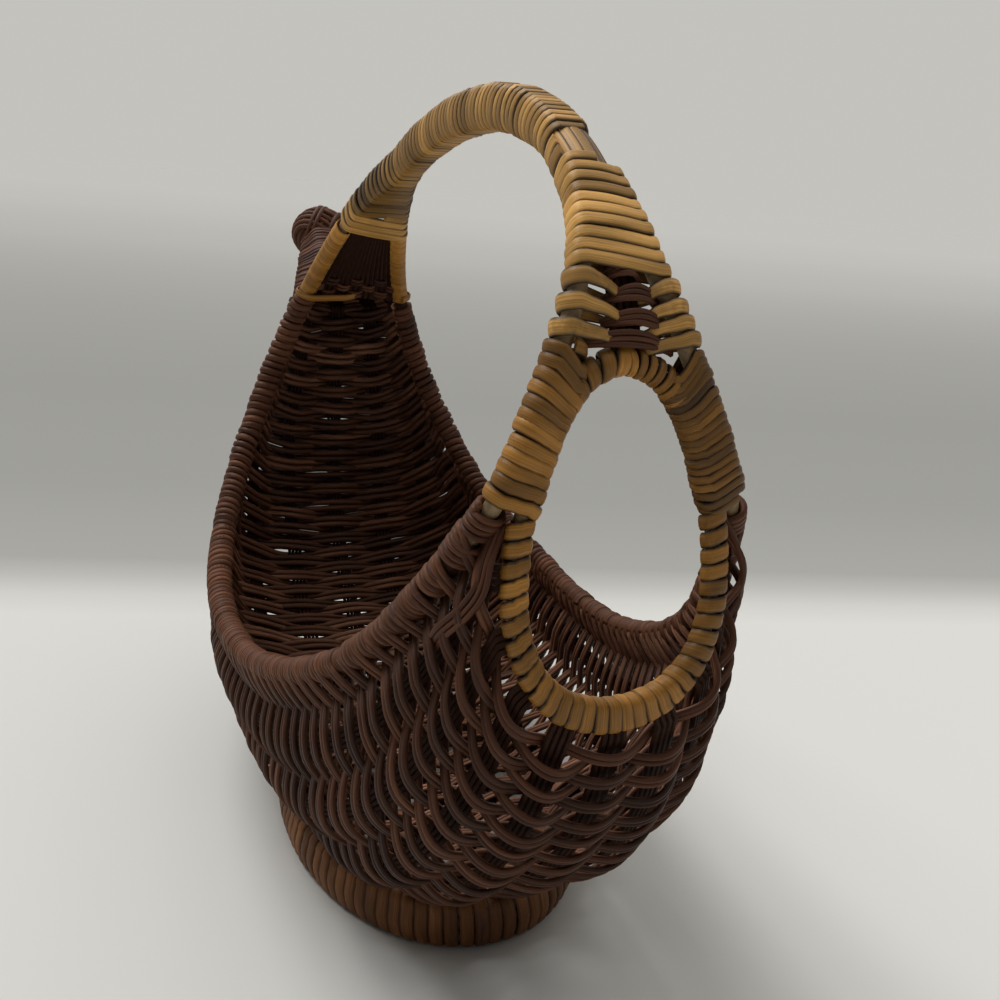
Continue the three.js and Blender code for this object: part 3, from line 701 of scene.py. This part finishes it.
@operator
class BASKET_OT_hoops(bpy.types.Operator):
    """Bends the two side hoops, the tail ring and the dark canes inside the rim's turns"""
    bl_idname = "basket.hoops"
    bl_label = "Hoops and ring"

    def execute(self, context):
        hoop = np.vstack([right_rim.even(220)[:-1], right_frame.even(200)[:-1]])
        bent_canes("side_hoops", [mirrored(hoop), hoop], HOOP_CANE, "pale_round",
                   ["left_side_hoop", "right_side_hoop"], closed=True)
        bent_canes("tail_hoop", [ring.points[:-1:4]], RING_CANE, "pale_round", ["tail_ring"], closed=True)
        core = right_rim.at(np.linspace(RIM_CORE_START, right_rim.length, 200))
        width = MM * context.scene.basket_weave.rim_core
        bent_canes("rim_cores", [mirrored(core), core], width, "dark_round", [])
        return {"FINISHED"}


@operator
class BASKET_OT_ribs(bpy.types.Operator):
    """Lays the ribs, each a row of thin canes, from the ring to the breast and up the neck"""
    bl_idname = "basket.ribs"
    bl_label = "Ribs"

    def execute(self, context):
        lines = []
        for rib in RIBS:
            end = rib_ends[rib] - (0.012 if rib_ends[rib] < 1 else 0)
            parts = np.linspace(0, end, 110)
            for k in np.arange(RIB_CANES) - (RIB_CANES - 1) / 2:
                line = wall.at(parts, rib * wall.rib_gap(parts) + k * RIB_CANE)
                start = ring.points[np.argmin(np.linalg.norm(ring.points - line[0], axis=1))]
                lead = [start + (line[0] - start) * f for f in (0.1, 0.5)]
                line = np.vstack([lead, line])
                if abs(rib) <= 2:
                    top = neck_top(rib * 45 + 6 * k)
                    line = np.vstack([line, [line[-1] + (top - line[-1]) * f for f in (0.35, 0.7, 1.0)]])
                lines.append(line)
        for side in (1, -1):
            for k in (-1, 0, 1):
                lines.append(np.array([NAPE * (1, side, 1) + (0, 1.8 * k, 0), neck_top(side * 144 + 6 * k)]))
        nodes = [f"rib_{k}" for k in range(1, 10)] + ["right_neck_stake", "left_neck_stake"]
        bent_canes("ribs", lines, RIB_CANE, "dark_round", nodes, resolution=1)
        return {"FINISHED"}


# Places along the wall are fractions from tail to neck
WEAVE_START = 0.004
WEAVE_END = 0.996
CLOSE_TURNS_END = 0.14
LEAD_IN = -0.6
CALM_BREAST = [0.48, 0.6, 0.72, 0.8], [1.0, 0.5, 0.55, 1.0]
BREAST_SPAN = [0.42, 0.6]
BREAST_CANE = 0.74
PASS_STEPS = 12
PASSES_PER_PIECE = 21


def rim_lead(part):
    """How much further from the tail a pass meets the rim than it crosses the belly"""
    return np.interp(part, [0, 0.06, 0.2, 0.36, 0.6], [-0.005, 0.032, 0.045, 0.03, 0.0])


def joined(*lines):
    """Laid lines as one: middles, ways out, ways beside and shares of the rim's tone"""
    return [np.concatenate(rows) for rows in zip(*lines)]


@operator
class BASKET_OT_weave(bpy.types.Operator):
    """Weaves double canes across the ribs from rim to rim, with turns round the rim between the passes"""
    bl_idname = "basket.weave"
    bl_label = "Weave"

    def pass_line(self, number, sizes):
        """One pass from rim to rim, and the face on which it goes by the last rib"""
        part, pitch = sizes["parts"][number], sizes["pitch"]
        heading = 1 if number % 2 == 0 else -1
        ribs = [rib for rib in RIBS if part < rib_ends[rib]]
        faces = [1 if (number + rib) % 2 == 0 else -1 for rib in ribs]
        gap = float(wall.rib_gap(part))
        reach = float(wall.half_girth(part))
        stops = [-reach] + [rib * gap for rib in ribs] + [reach]
        rim = sizes["rim_reach"]
        calm = np.interp(part, *CALM_BREAST)
        rise = {1: calm * sizes["crest_out"], -1: -calm * sizes["crest_in"]}
        heights = [rise[face] * rng.uniform(0.9, 1.08) for face in faces]
        heights = [-faces[0] * rim] + heights + [-faces[-1] * rim]
        share = np.arange(PASS_STEPS) / PASS_STEPS
        off_keel = [a + (b - a) * share for a, b in zip(stops, stops[1:])]
        height = [a + (b - a) * (1 - np.cos(math.pi * share)) / 2 for a, b in zip(heights, heights[1:])]
        off_keel = np.append(np.concatenate(off_keel), stops[-1])
        height = np.append(np.concatenate(height), heights[-1])
        past_ribs = np.clip((np.abs(off_keel) - ribs[-1] * gap) / (reach - ribs[-1] * gap), 0, 1)
        drift = past_ribs ** 1.5 * (rim_lead(part) - heading * np.sign(off_keel) * 0.25 * pitch)
        knots = np.concatenate([[0], rng.normal(0, 0.1, 8), [0]])
        waver = np.interp(off_keel, np.linspace(-reach, reach, len(knots)), knots) * pitch
        place = part + drift + waver
        off_keel = np.clip(off_keel / reach, -1, 1) * wall.half_girth(place)
        out = wall.out(place, off_keel)
        centre = wall.at(place, off_keel) + height[:, None] * out
        line = [centre, out, wall.along(place, off_keel), past_ribs ** 3]
        if heading < 0:
            return [rows[::-1] for rows in line], faces[0]
        return line, faces[-1]

    def rim_turns(self, number, face, sizes):
        """The turns round the rim that lead from one pass to the next"""
        pitch = sizes["pitch"]
        side = 1 if number % 2 == 0 else -1
        start = sizes["parts"][0] + number * pitch
        half_turns = 5 if start < CLOSE_TURNS_END else 3
        share = np.linspace(0, 1, 10 * half_turns)[1:]
        part = start + (1.5 * share - 0.25) * pitch
        part = np.clip(part + rim_lead(part), 0, 1)
        edge = side * wall.half_girth(part)
        along = wall.along(part, edge)
        out = wall.out(part, edge)
        away = side * np.cross(out, along)
        turn = (-face * (math.pi / 2) * (1 - 2 * half_turns * share))[:, None]
        around = np.cos(turn) * away + np.sin(turn) * out
        lift = sizes["rim_reach"] * (1 + 0.06 * rng.normal())
        return [wall.at(part, edge) + lift * around, around, along, np.ones(len(part))]

    def execute(self, context):
        settings = context.scene.basket_weave
        count = settings.passes
        pitch = (WEAVE_END - WEAVE_START) / count
        sizes = {name: MM * getattr(settings, name) for name in ("crest_out", "crest_in", "rim_reach")}
        sizes["parts"] = WEAVE_START + (np.arange(count) + 0.5) * pitch
        sizes["pitch"] = pitch
        thin = MM * settings.cane
        thick = max(thin, BREAST_CANE * keel.length * pitch)
        total = math.ceil(count / PASSES_PER_PIECE)
        for group in range(total):
            strands = Strands()
            for number in range(count)[group * PASSES_PER_PIECE:(group + 1) * PASSES_PER_PIECE]:
                line, face = self.pass_line(number, sizes)
                rim_tone = rng.uniform(0.5, 1.0)
                if number == 0:
                    lead_in = self.rim_turns(LEAD_IN, -1, sizes)
                    line = joined([rows[:-1] for rows in lead_in], line)
                if number < count - 1:
                    line = joined(line, self.rim_turns(number, face, sizes))
                *ways, shade = line
                cane = np.interp(sizes["parts"][number], BREAST_SPAN, [thin, thick])
                strands.lay_row(*ways, cane, tone=0.7 * rng.random() * (1 - shade) + rim_tone * shade)
            nodes = [f"weaver_{k}" for k in range(1, 11) if (k - 1) * total // 10 == group]
            strands.piece(f"weave_{group + 1}", "dark_weave", nodes)
        return {"FINISHED"}


@operator
class BASKET_OT_handle(bpy.types.Operator):
    """Winds the handle, with a small window that shows the strips inside"""
    bl_idname = "basket.handle"
    bl_label = "Handle"

    def execute(self, context):
        width = MM * context.scene.basket_wraps.handle
        strands = Strands()
        start, end = 64.0, TAIL - 120.5
        places = np.linspace(start, end, 300)
        pitches = PRESSED * width * np.interp(places, [start, 95, 150], [1.45, 1.25, 1.0])
        marks = np.concatenate([[0], np.cumsum(np.diff(places) / pitches[1:])])
        turns = round(marks[-1])
        uneven = uneven_pace(turns, 0.16)

        def pace(share):
            return (np.interp(uneven(share) * marks[-1], marks, places) - start) / (end - start)

        def rise(places):
            return np.interp(places, [start, start + 25, end - 28, end], [5.2, 6.6, 6.6, 5.4])

        centre, out = wind_both(start, end, turns, 3.3, rise, hand=-1, arc=10, pace=pace)
        spread = np.interp(pace(np.linspace(0, 1, len(centre))) * (end - start) + start, places,
                           pitches / pitches[-1])
        # Painted shade: the tone is lowered where the strips spread wider, so the handle is darker towards its
        # neck end.
        tone = uneven_tones(len(centre), 20) - np.interp(spread, [1.0, 1.3], [0.1, 0.7])
        strands.lay(wavering(centre, 0.15, 25), out, strip_profile(width, 1.0), tone, spread=spread)
        for place in (TAIL - 116.5, TAIL - 111.0):
            wound = wind_both(place, place + 1.2, 0.43, 3.3, 5.4, hand=-1, arc=10, phase=0.42, corner=0.85)
            strands.lay(*wound, strip_profile(5.2, 1.0))
        places = np.linspace(TAIL - 126, TAIL - 101, 9)
        along = right_frame.heading(places)
        up = np.cross(along, ACROSS)
        for turn in np.radians(np.arange(0, 360, 30)):
            around = math.cos(turn) * ACROSS + math.sin(turn) * up
            body = frame_middle(places) + 6.0 * math.cos(turn) * ACROSS + 4.9 * math.sin(turn) * up
            strands.lay(body, around, strip_profile(3.7, 0.8))
        strands.piece("handle_wrap", "honey_strip",
                      ["handle_wrap", "handle_upper_filler", "handle_lower_filler"])
        return {"FINISHED"}


@operator
class BASKET_OT_tail_gable(bpy.types.Operator):
    """Winds the tail gable and weaves the strands below it across the stakes"""
    bl_idname = "basket.tail_gable"
    bl_label = "Tail gable"

    def execute(self, context):
        sizes = context.scene.basket_wraps
        strands = Strands()

        def rise(places):
            return np.interp(places, [TAIL - 105, TAIL - 92, TAIL - 68], [5.0, 4.0, 3.3])

        turns = 9.3
        wound = wind_both(TAIL - 104.5, TAIL - 68.5, turns, 3.2, rise, arc=12, flat=7, bow=0.5, phase=0.4,
                          lean=0.17, corner=0.65, pace=uneven_pace(turns, 0.1))
        # Painted light: the gable's tone is raised so that it looks brighter than the handle of the same cane.
        strands.wrap(wound, MM * sizes.gable, 1.0, (0.15, 30), 24, painted_light_shift=0.3)
        strands.piece("tail_gable_wrap", "honey_strip", ["tail_gable_wrap"])
        foot = ring_points(np.array(0.0))
        middles = frame_middle(TAIL - np.array([47.5, 54.0, 60.5, 72.0]))
        stakes = [np.vstack([foot + (0, 2.6 * k, 0), middles + (0, 2.3 * k, 0)])
                  for k in (-1.5, -0.5, 0.5, 1.5)]
        bent_canes("gable_stakes", stakes, 2.3, "dark_round", ["gable_stake"], resolution=2)
        loops = Strands()
        for place in (65.5, 58.5, 51.5):
            self.lay_loop(loops, left_frame, place, 2.2, MM * sizes.loop)
        for place in (63.5, 58.0, 53.5, 49.0):
            self.lay_loop(loops, right_frame, place, 5.5, 0.9 * MM * sizes.loop)
        loops.piece("gable_loops", "honey_strip", [f"gable_strand_{k}" for k in (1, 2, 3)])
        cross = Strands()
        share = np.linspace(0, 1, 29)
        for high, low, first, last in ((67.5, 66.0, 0.3, 0.75), (61.0, 59.0, 0.3, 0.88),
                                       (54.4, 51.6, 0.3, 0.88), (48.0, 45.6, 0.14, 0.88)):
            left_end = left_frame.at(TAIL - high)
            right_end = right_frame.at(TAIL - low)
            line = left_end + (right_end - left_end) * (first + (last - first) * share)[:, None]
            heading = unit(right_frame.heading(TAIL - high) * (1, 0, 1))
            front = np.cross(heading, ACROSS)
            swell = np.sin(math.pi * share)
            line = line + (5.2 * swell ** 0.8 - 1.6)[:, None] * front - 1.7 * swell[:, None] * heading
            cross.lay_row(line, front, heading, 1.75, 3, tone=0.6, spread=0.35 + 0.65 * swell)
        cross.piece("gable_strands", "dark_weave", [])
        return {"FINISHED"}

    def lay_loop(self, strands, leg_line, place, short, width):
        """A strip that goes round a leg and tapers to its end at the stakes"""
        leg = leg_line.at(TAIL - place)
        heading = leg_line.heading(TAIL - place)
        front = square_to(np.cross(heading, ACROSS), heading)
        middle = frame_middle(TAIL - place + 3.5)
        side = unit((middle - leg) * (0, 1, 0))
        tip = middle - short * side
        knots = [
            (tip - 3.6 * front, -front), (leg - 3.7 * front + 2.2 * side + 1.0 * heading, -front),
            (leg - 2.8 * front - 2.8 * side, -front - side), (leg - 3.9 * side - 0.3 * heading, -side),
            (leg + 2.8 * front - 2.8 * side, front - side), (leg + 3.8 * front, front),
            (leg + 3.5 * front + 3.0 * side + 0.8 * heading, front + 0.3 * side),
            ((leg + tip) / 2 + 2.4 * front + 1.4 * side, front + 0.3 * side),
            (tip + 1.0 * front, front), (tip + 4.0 * side - 2.6 * front, front)]
        taper = np.interp(np.linspace(0, 1, 61), [0, 0.2, 0.62, 1], [0.4, 1, 1, 0.45])
        strands.lay(*knotted(knots, 61), strip_profile(width, 1.0), uneven_tones(61, 20), spread=taper)


@operator
class BASKET_OT_tail_ring(bpy.types.Operator):
    """Winds the tail ring and binds its sides to the legs"""
    bl_idname = "basket.tail_ring"
    bl_label = "Tail ring"

    def execute(self, context):
        sizes = context.scene.basket_wraps
        whole = ring.length
        strands = Strands()

        def outward(places):
            return unit((ring.at(places) - RING_MIDDLE) * (0.3, 1, 1))

        def lower_edge(places):
            flare = np.exp(-np.abs((np.asarray(places) / whole - 0.5) / 0.1) ** 3)[..., None]
            return ring.at(places) + (1.0 + 2.6 * flare) * outward(places)

        turns = 32
        marks = np.linspace(0, 1, 200)
        slowness = 1 - 0.2 * np.exp(-((marks - 0.5) / 0.2) ** 2)
        filled = np.concatenate([[0], np.cumsum(1 / slowness[1:])])
        uneven = uneven_pace(turns, 0.1)
        wound = wind(ring.at, lower_edge, 0.212 * whole, 0.788 * whole, turns, 2.5, flat=2, across=outward,
                     corner=0.75, pace=lambda share: np.interp(uneven(share), filled / filled[-1], marks))
        strands.wrap(wound, MM * sizes.ring, 0.95, (0.12, 22), 26)
        strands.piece("tail_ring_wrap", "amber_strip", ["tail_ring_wrap"])
        tops = Strands()
        for start, end, turns, width in ((0.001, 0.11, 9, 2.7), (0.997, 0.91, 4.5, 4.6)):
            wound = wind(ring.at, ring.at, start * whole, end * whole, turns, 3.0, across=(1, 0, 0))
            tops.wrap(wound, width, 1.2, (0.12, 22), 20)
        tops.piece("ring_top_wraps", "amber_strip", ["left_ring_top_wrap", "right_ring_top_wrap"])
        bindings = Strands()
        for side, leg, turns, top, width, lean, thick in (
                (-1, left_frame, 12.6, 49.0, MM * sizes.left_binding, 0.0, 1.45),
                (1, right_frame, 18.5, 45.0, MM * sizes.right_binding, 0.35, 1.15)):
            def ring_beside(places, leg=leg):
                spots = leg.at(places)
                apart = np.linalg.norm(ring.points[None] - spots[:, None], axis=2)
                nearest = ring.points[np.argmin(apart, axis=1)]
                gap = apart.min(axis=1)[:, None]
                near = np.clip((13.0 - gap) / 5.0, 0.09, 1)
                return spots + (nearest - spots) * near
            wound = wind(leg.at, ring_beside, TAIL - top, TAIL - 1.5, turns, 3.2, hand=-1, flat=3,
                         across=(0.1, -side, 0), bow=0.3, lean=lean, pace=uneven_pace(turns, 0.15))
            # Painted shade: the tone shift grows with lean, so the right binding, which faces away from the
            # light, is darker than the left.
            bindings.wrap(wound, width, thick, (0.18, 24), 26, painted_light_shift=-1.8 * lean)
        bindings.piece("leg_bindings", "amber_strip", ["left_leg_binding", "right_leg_binding"])
        lashings = Strands()
        path = [(131.5, -34.0, 184.0), (134.5, -38.0, 176.0), (137.0, -40.6, 168.2), (134.5, -43.0, 161.6),
                (128.2, -47.3, 152.7), (122.0, -47.0, 146.0)]
        line = bent_line(path, False, np.linspace(0, 1, 40))
        for side in (1, -1):
            bent = line * (1, side, 1)
            out = unit(np.array([0.55, -0.8 * side, -0.1]))
            beside = np.cross(unit(np.gradient(bent, axis=0)), out)
            lashings.lay_row(bent, out, beside, 1.7, 3, tone=0.5)
        lashings.piece("ring_lashings", "dark_weave", [])
        return {"FINISHED"}


@operator
class BASKET_OT_prongs(bpy.types.Operator):
    """Winds the prongs at the neck and the gable over them, ties their feet and weaves between them"""
    bl_idname = "basket.prongs"
    bl_label = "Prongs"

    def execute(self, context):
        gable = Strands()
        wound = wind_both(49, 65, 3.4, 2.8, 5.0, hand=-1, arc=10, flat=5, bow=0.4, lean=-0.16, corner=0.75)
        gable.wrap(wound, 1.25 * MM * context.scene.basket_wraps.gable, 1.2, (0.12, 30), 24)
        gable.piece("neck_gable_wrap", "honey_strip", ["neck_gable_wrap"])
        prongs = Strands()
        for leg in (left_frame, right_frame):
            centre, out = wind(leg.at, leg.at, 0, 47, 12, 3.7, hand=-1, arc=10)
            prongs.lay(centre, out, strip_profile(4.6, 0.6), 0.35 + uneven_tones(len(centre), 60))
        prongs.piece("prong_wraps", "prong_strip", ["left_prong_wrap", "right_prong_wrap"], crease=60)
        self.lay_tie()

        def between(place, side):
            inner = right_frame.at(place)[..., 1] - 3.4
            return frame_middle(place) + (side * inner)[..., None] * ACROSS

        stakes = [between(np.linspace(-3, 50, 60), side) for side in np.linspace(-0.95, 0.95, 15)]
        bent_canes("panel_stakes", stakes, 2.7, "dark_round", [f"panel_stake_{k}" for k in (1, 2, 3)],
                   resolution=2)
        strands = Strands()
        share = np.linspace(-1, 1, 61)
        for row, place in enumerate(np.arange(3.0, 14.0, 3.8)):
            line = between(np.full(61, place), share)
            heading = unit(right_frame.heading(place) * (1, 0, 1))
            front = np.cross(ACROSS, heading)
            weave = np.cos(3 * math.pi * share + math.pi * (row % 2))
            line = line + (2.1 * weave)[:, None] * front
            strands.lay_row(line, front, heading, 1.9)
        strands.piece("panel_strands", "dark_weave", [f"panel_strand_{k}" for k in (1, 2, 3)])
        return {"FINISHED"}

    def lay_tie(self):
        """A strip round the prongs' feet that runs before the stakes and then behind them"""
        low = 2.0
        left, right = left_frame.at(low), right_frame.at(low)
        heading = unit(right_frame.heading(low) * (1, 0, 1))
        front = -np.cross(heading, ACROSS)
        front = front * np.sign(front[0])
        across = right - left
        reach = 4.9
        knots = [
            (left + reach * (0.7 * ACROSS - 0.7 * front), -front), (left - reach * front, -front),
            (left - reach * ACROSS, -ACROSS), (left + reach * front, front),
            (left + 0.22 * across + 4.6 * front, front), (left + 0.42 * across + 3.4 * front, front),
            (left + 0.55 * across, front), (left + 0.7 * across - 4.0 * front, front),
            (right - reach * ACROSS - 2.0 * front, front), (right - 0.2 * ACROSS - reach * front, -front),
            (right + reach * ACROSS, ACROSS), (right + reach * front, front)]
        tie = Strands()
        tie.lay(*knotted(knots, 81), strip_profile(3.6, 1.0), 0.6)
        tie.piece("prong_tie", "prong_strip", ["prong_tie"])


@operator
class BASKET_OT_neck(bpy.types.Operator):
    """Winds the neck with double cane and makes the knob head"""
    bl_idname = "basket.neck"
    bl_label = "Neck and head"

    def execute(self, context):
        sizes = context.scene.basket_neck
        degrees = np.array([-144, -90, -45, 0, 45, 90, 144])
        breast = [wall.at(1.0, rib * float(wall.rib_gap(1.0))) for rib in range(-2, 3)]
        bases = np.array([mirrored(NAPE), *breast, NAPE])
        tops = np.array([neck_top(d) for d in degrees])
        turns, per_turn = sizes.turns, 28
        total = turns * per_turn
        share = np.linspace(0.0, 0.98, total + 1)
        place = (np.arange(total + 1) % per_turn) / per_turn
        rows = bases[None] + (tops - bases)[None] * share[:, None, None]
        ring_at = np.array([bent_line(row, True, np.array([p]))[0] for row, p in zip(rows, place)])
        middle = rows.mean(axis=1)
        out = square_to(ring_at - middle, NECK_AXIS)
        wave = 0.6 * np.cos(7 * 2 * math.pi * place)[:, None]
        strands = Strands()
        line = wavering(ring_at + out * (2.4 + wave), 0.3, 20)
        strands.lay_row(line, out, NECK_AXIS, MM * sizes.cane, tone=0.3 + 0.7 * uneven_tones(total + 1, 20))
        strands.piece("neck_winding", "dark_weave", ["neck_winding"])
        bpy.ops.object.select_all(action="DESELECT")
        bpy.ops.mesh.primitive_uv_sphere_add(segments=32, ring_count=18, radius=0.5)
        core = bpy.context.object
        core.name = "head_core"
        beneath = np.cross(ACROSS, NECK_AXIS)
        basis = Matrix((Vector(ACROSS), Vector(NECK_AXIS), Vector(beneath))).transposed()
        size = (sizes.head_width, sizes.head_length, sizes.head_length)
        core.matrix_world = (Matrix.Translation(Vector((HEAD_CENTRE + SHIFT) / MM)) @ basis.to_4x4()
                             @ Matrix.Diagonal((*size, 1)))
        bpy.ops.object.transform_apply(location=True, rotation=True, scale=True)
        bpy.ops.object.shade_smooth()
        finished(core, "dark_round", ["head_core"])
        winding = Strands()
        axes = np.array([ACROSS, NECK_AXIS, beneath])
        for tilt, low, high, count, over in (
                (0.5, -70, 78, 8, 1.0), (-0.6, -55, 60, 4, 2.0), (1.2, -40, 40, 2, 2.8)):
            steps = np.linspace(0, 1, 24 * count + 1)
            lift = np.radians(low + (high - low) * steps)
            turn = 2 * math.pi * count * steps
            local = np.stack([np.cos(lift) * np.cos(turn), np.sin(lift), np.cos(lift) * np.sin(turn)], axis=1)
            c, s = math.cos(tilt), math.sin(tilt)
            local = local @ np.array([[c, s, 0], [-s, c, 0], [0, 0, 1]])
            shell = MM / 2 * np.array(size) + over
            centre = wavering(HEAD_CENTRE + (local * shell) @ axes, 0.35, 12)
            out = unit((local / shell) @ axes)
            beside = np.cross(unit(np.gradient(centre, axis=0)), out)
            tone = 0.4 + 0.6 * uneven_tones(len(centre), 12)
            winding.lay_row(centre, out, beside, MM * sizes.cane, tone=tone)
        winding.piece("head_winding", "dark_weave", ["head_winding"])
        return {"FINISHED"}


FOOT_INSET = 4.6
FOOT_HOOP_STEP = 5.55


@operator
class BASKET_OT_foot(bpy.types.Operator):
    """Stacks the foot's hoops, winds them and ties them with double cane"""
    bl_idname = "basket.foot"
    bl_label = "Foot"

    def execute(self, context):
        turn = np.linspace(0, 2 * math.pi, 241)
        half_length, half_width = FOOT_HALF_LENGTH - FOOT_INSET, FOOT_HALF_WIDTH - FOOT_INSET
        ovals = [np.stack([half_length * np.cos(turn), half_width * np.sin(turn),
                           np.full(turn.shape, FOOT_BASE + (FOOT_INSET + k * FOOT_HOOP_STEP))], axis=1)
                 for k in range(3)]
        bent_canes("foot_hoops", [oval[:-1:2] for oval in ovals], HOOP_CANE, "pale_round",
                   ["foot_hoop_1", "foot_hoop_2", "foot_hoop_3"], closed=True)
        low, high = Line(np.vstack([ovals[0]] * 2)), Line(np.vstack([ovals[-1]] * 2))
        around = low.length / 2
        strands = Strands()
        turns = 88
        wound = wind(low.at, high.at, 2.0, around + 2.0, turns, 3.25, arc=8, flat=4, across=(0, 0, 1), bow=1.2,
                     pace=uneven_pace(turns, 0.15))
        strands.wrap(wound, MM * context.scene.basket_wraps.foot, 1.1, (0.1, 24), 24)
        strands.piece("foot_wrap", "foot_strip", ["right_foot_wrap", "left_foot_wrap"])
        tie = Strands()
        centre, out = wind(low.at, high.at, around - 7.0, around - 3.0, 1.3, 3.6, arc=10, flat=4,
                           across=(0, 0, 1), bow=1.6)
        beside = unit(np.cross(np.gradient(centre, axis=0), out))
        tie.lay_row(centre, out, beside, 2.0, tone=0.5)
        tie.piece("foot_tie", "dark_weave", [])
        return {"FINISHED"}


CAMERA_AT = (354.7, -133.3, 267.2)
CAMERA_ANGLES = (66.2, 17.5, 5.1)
BACKDROP_WAY = (-0.973, 0.230, 0.0)
# Shares of the floor colour by distance along BACKDROP_WAY. Past the basket the floor is painted darker, as
# painted shade of a backdrop, and grows paler far off.
PAINTED_SHADE_DEPTHS = [
    (0.0, 1.0), (0.17, 1.0), (0.24, 0.56), (0.42, 0.49), (0.8, 0.47), (1.5, 0.52), (3.0, 0.655), (5.0, 0.73),
    (8.0, 0.767)]


@operator
class BASKET_OT_stage(bpy.types.Operator):
    """Sets the floor, the light and the camera"""
    bl_idname = "basket.stage"
    bl_label = "Stage"

    def execute(self, context):
        scene = context.scene
        settings = scene.basket_stage
        scene.view_settings.view_transform = "Standard"
        azimuth, elevation, roll = (math.radians(angle) for angle in CAMERA_ANGLES)
        back = Vector((math.sin(azimuth) * math.cos(elevation), -math.cos(azimuth) * math.cos(elevation),
                       math.sin(elevation)))
        right = Vector((math.cos(azimuth), math.sin(azimuth), 0))
        up = back.cross(right)
        side = math.cos(roll) * right + math.sin(roll) * up
        top = -math.sin(roll) * right + math.cos(roll) * up
        position = Vector(CAMERA_AT + SHIFT) / MM
        camera_data = bpy.data.cameras.new("camera")
        camera_data.sensor_width = 36
        camera_data.lens = 36
        camera_data.clip_start = 0.01
        camera = add_object("camera", camera_data)
        camera.matrix_world = Matrix.Translation(position) @ Matrix((side, top, back)).transposed().to_4x4()
        scene.camera = camera
        away = -Vector((back.x, back.y, 0)).normalized()
        self.lay_floor(settings)
        self.light_world(scene, settings, away)
        sun_data = bpy.data.lights.new("window_light", "SUN")
        sun_data.energy = settings.sun
        sun_data.angle = settings.softness
        sun = add_object("window_light", sun_data)
        toward = (-0.5 * right + 0.3 * away + Vector((0, 0, 0.95))).normalized()
        sun.location = toward
        sun.rotation_euler = toward.to_track_quat("Z", "Y").to_euler()
        return {"FINISHED"}

    def lay_floor(self, settings):
        """A floor whose far part is painted in darker greys, as painted shade of a backdrop"""
        bpy.ops.object.select_all(action="DESELECT")
        bpy.ops.mesh.primitive_plane_add(size=40.0, location=(0, 0, 0))
        floor = bpy.context.object
        floor.name = "floor"
        finish, tree, shader = new_finish("floor_paper")
        place = add_node(tree, "TexCoord")["Object"]
        depth = add_node(tree, "VectorMath", {0: place, 1: BACKDROP_WAY}, operation="DOT_PRODUCT")["Value"]
        furthest = PAINTED_SHADE_DEPTHS[-1][0]
        spread = add_node(tree, "MapRange", {"Value": depth, "From Min": 0.0, "From Max": furthest})["Result"]
        stops = [(far / furthest, tuple(share * c for c in settings.floor)) for far, share in PAINTED_SHADE_DEPTHS]
        connect(tree, shader, {
            "Base Color": add_ramp(tree, spread, stops), "Roughness": 1.0, "Specular IOR Level": 0.0})
        floor.data.materials.append(finish)

    def light_world(self, scene, settings, away):
        """Soft light from above. What looks at it, straight or mirrored, also sees a pale backdrop low down."""
        world = bpy.data.worlds.new("studio")
        world.use_nodes = True
        tree = world.node_tree
        way = add_node(tree, "TexCoord")["Generated"]

        def sky(axis, tint, stops):
            axis = axis.normalized()
            height = add_node(tree, "VectorMath", {0: way, 1: axis}, operation="DOT_PRODUCT")["Value"]
            color = add_ramp(tree, height, [(place, tuple(share * c for c in tint)) for place, share in stops])
            return add_node(tree, "Background", {"Color": color, "Strength": settings.daylight})[0]

        pale = 0.55 / settings.daylight
        upright = Vector((0, 0, 1))
        light = sky(0.5 * away + 0.87 * upright, (1.0, 0.975, 0.93), [(0.35, 0.1), (0.85, 1.0)])
        backdrop = sky(upright, (1.0, 0.985, 0.93), [(0.0, pale), (0.3, pale), (0.4, 0.25), (0.8, 1.0)])
        rays = add_node(tree, "LightPath")
        seen = rays["Is Camera Ray"]
        for kind in ("Is Glossy Ray", "Is Transmission Ray"):
            seen = add_node(tree, "Math", {0: seen, 1: rays[kind]}, operation="MAXIMUM")[0]
        mix = add_node(tree, "MixShader", {0: seen, 1: light, 2: backdrop})[0]
        tree.links.new(mix, tree.nodes["World Output"].inputs["Surface"])
        scene.world = world


class BASKET_PT_panel(bpy.types.Panel):
    """Settings and buttons for the basket's pieces"""
    bl_idname = "BASKET_PT_panel"
    bl_label = "Egg Basket"
    bl_space_type = "VIEW_3D"
    bl_region_type = "UI"
    bl_category = "Basket"

    def draw(self, context):
        for name, group in SETTINGS.items():
            box = self.layout.box()
            for setting in group.__annotations__:
                box.prop(getattr(context.scene, name), setting)
        for cls in OPERATORS:
            self.layout.operator(cls.bl_idname)


CLASSES = [*SETTINGS.values(), *OPERATORS, BASKET_PT_panel]


def register():
    for cls in CLASSES:
        bpy.utils.register_class(cls)
    for name, group in SETTINGS.items():
        setattr(bpy.types.Scene, name, bpy.props.PointerProperty(type=group))


def unregister():
    for name in SETTINGS:
        delattr(bpy.types.Scene, name)
    for cls in reversed(CLASSES):
        bpy.utils.unregister_class(cls)


def main():
    register()
    bpy.ops.basket.hoops()
    bpy.ops.basket.ribs()
    bpy.ops.basket.weave()
    bpy.ops.basket.handle()
    bpy.ops.basket.tail_gable()
    bpy.ops.basket.tail_ring()
    bpy.ops.basket.prongs()
    bpy.ops.basket.neck()
    bpy.ops.basket.foot()
    bpy.ops.basket.stage()


if __name__ == "__main__":
    main()
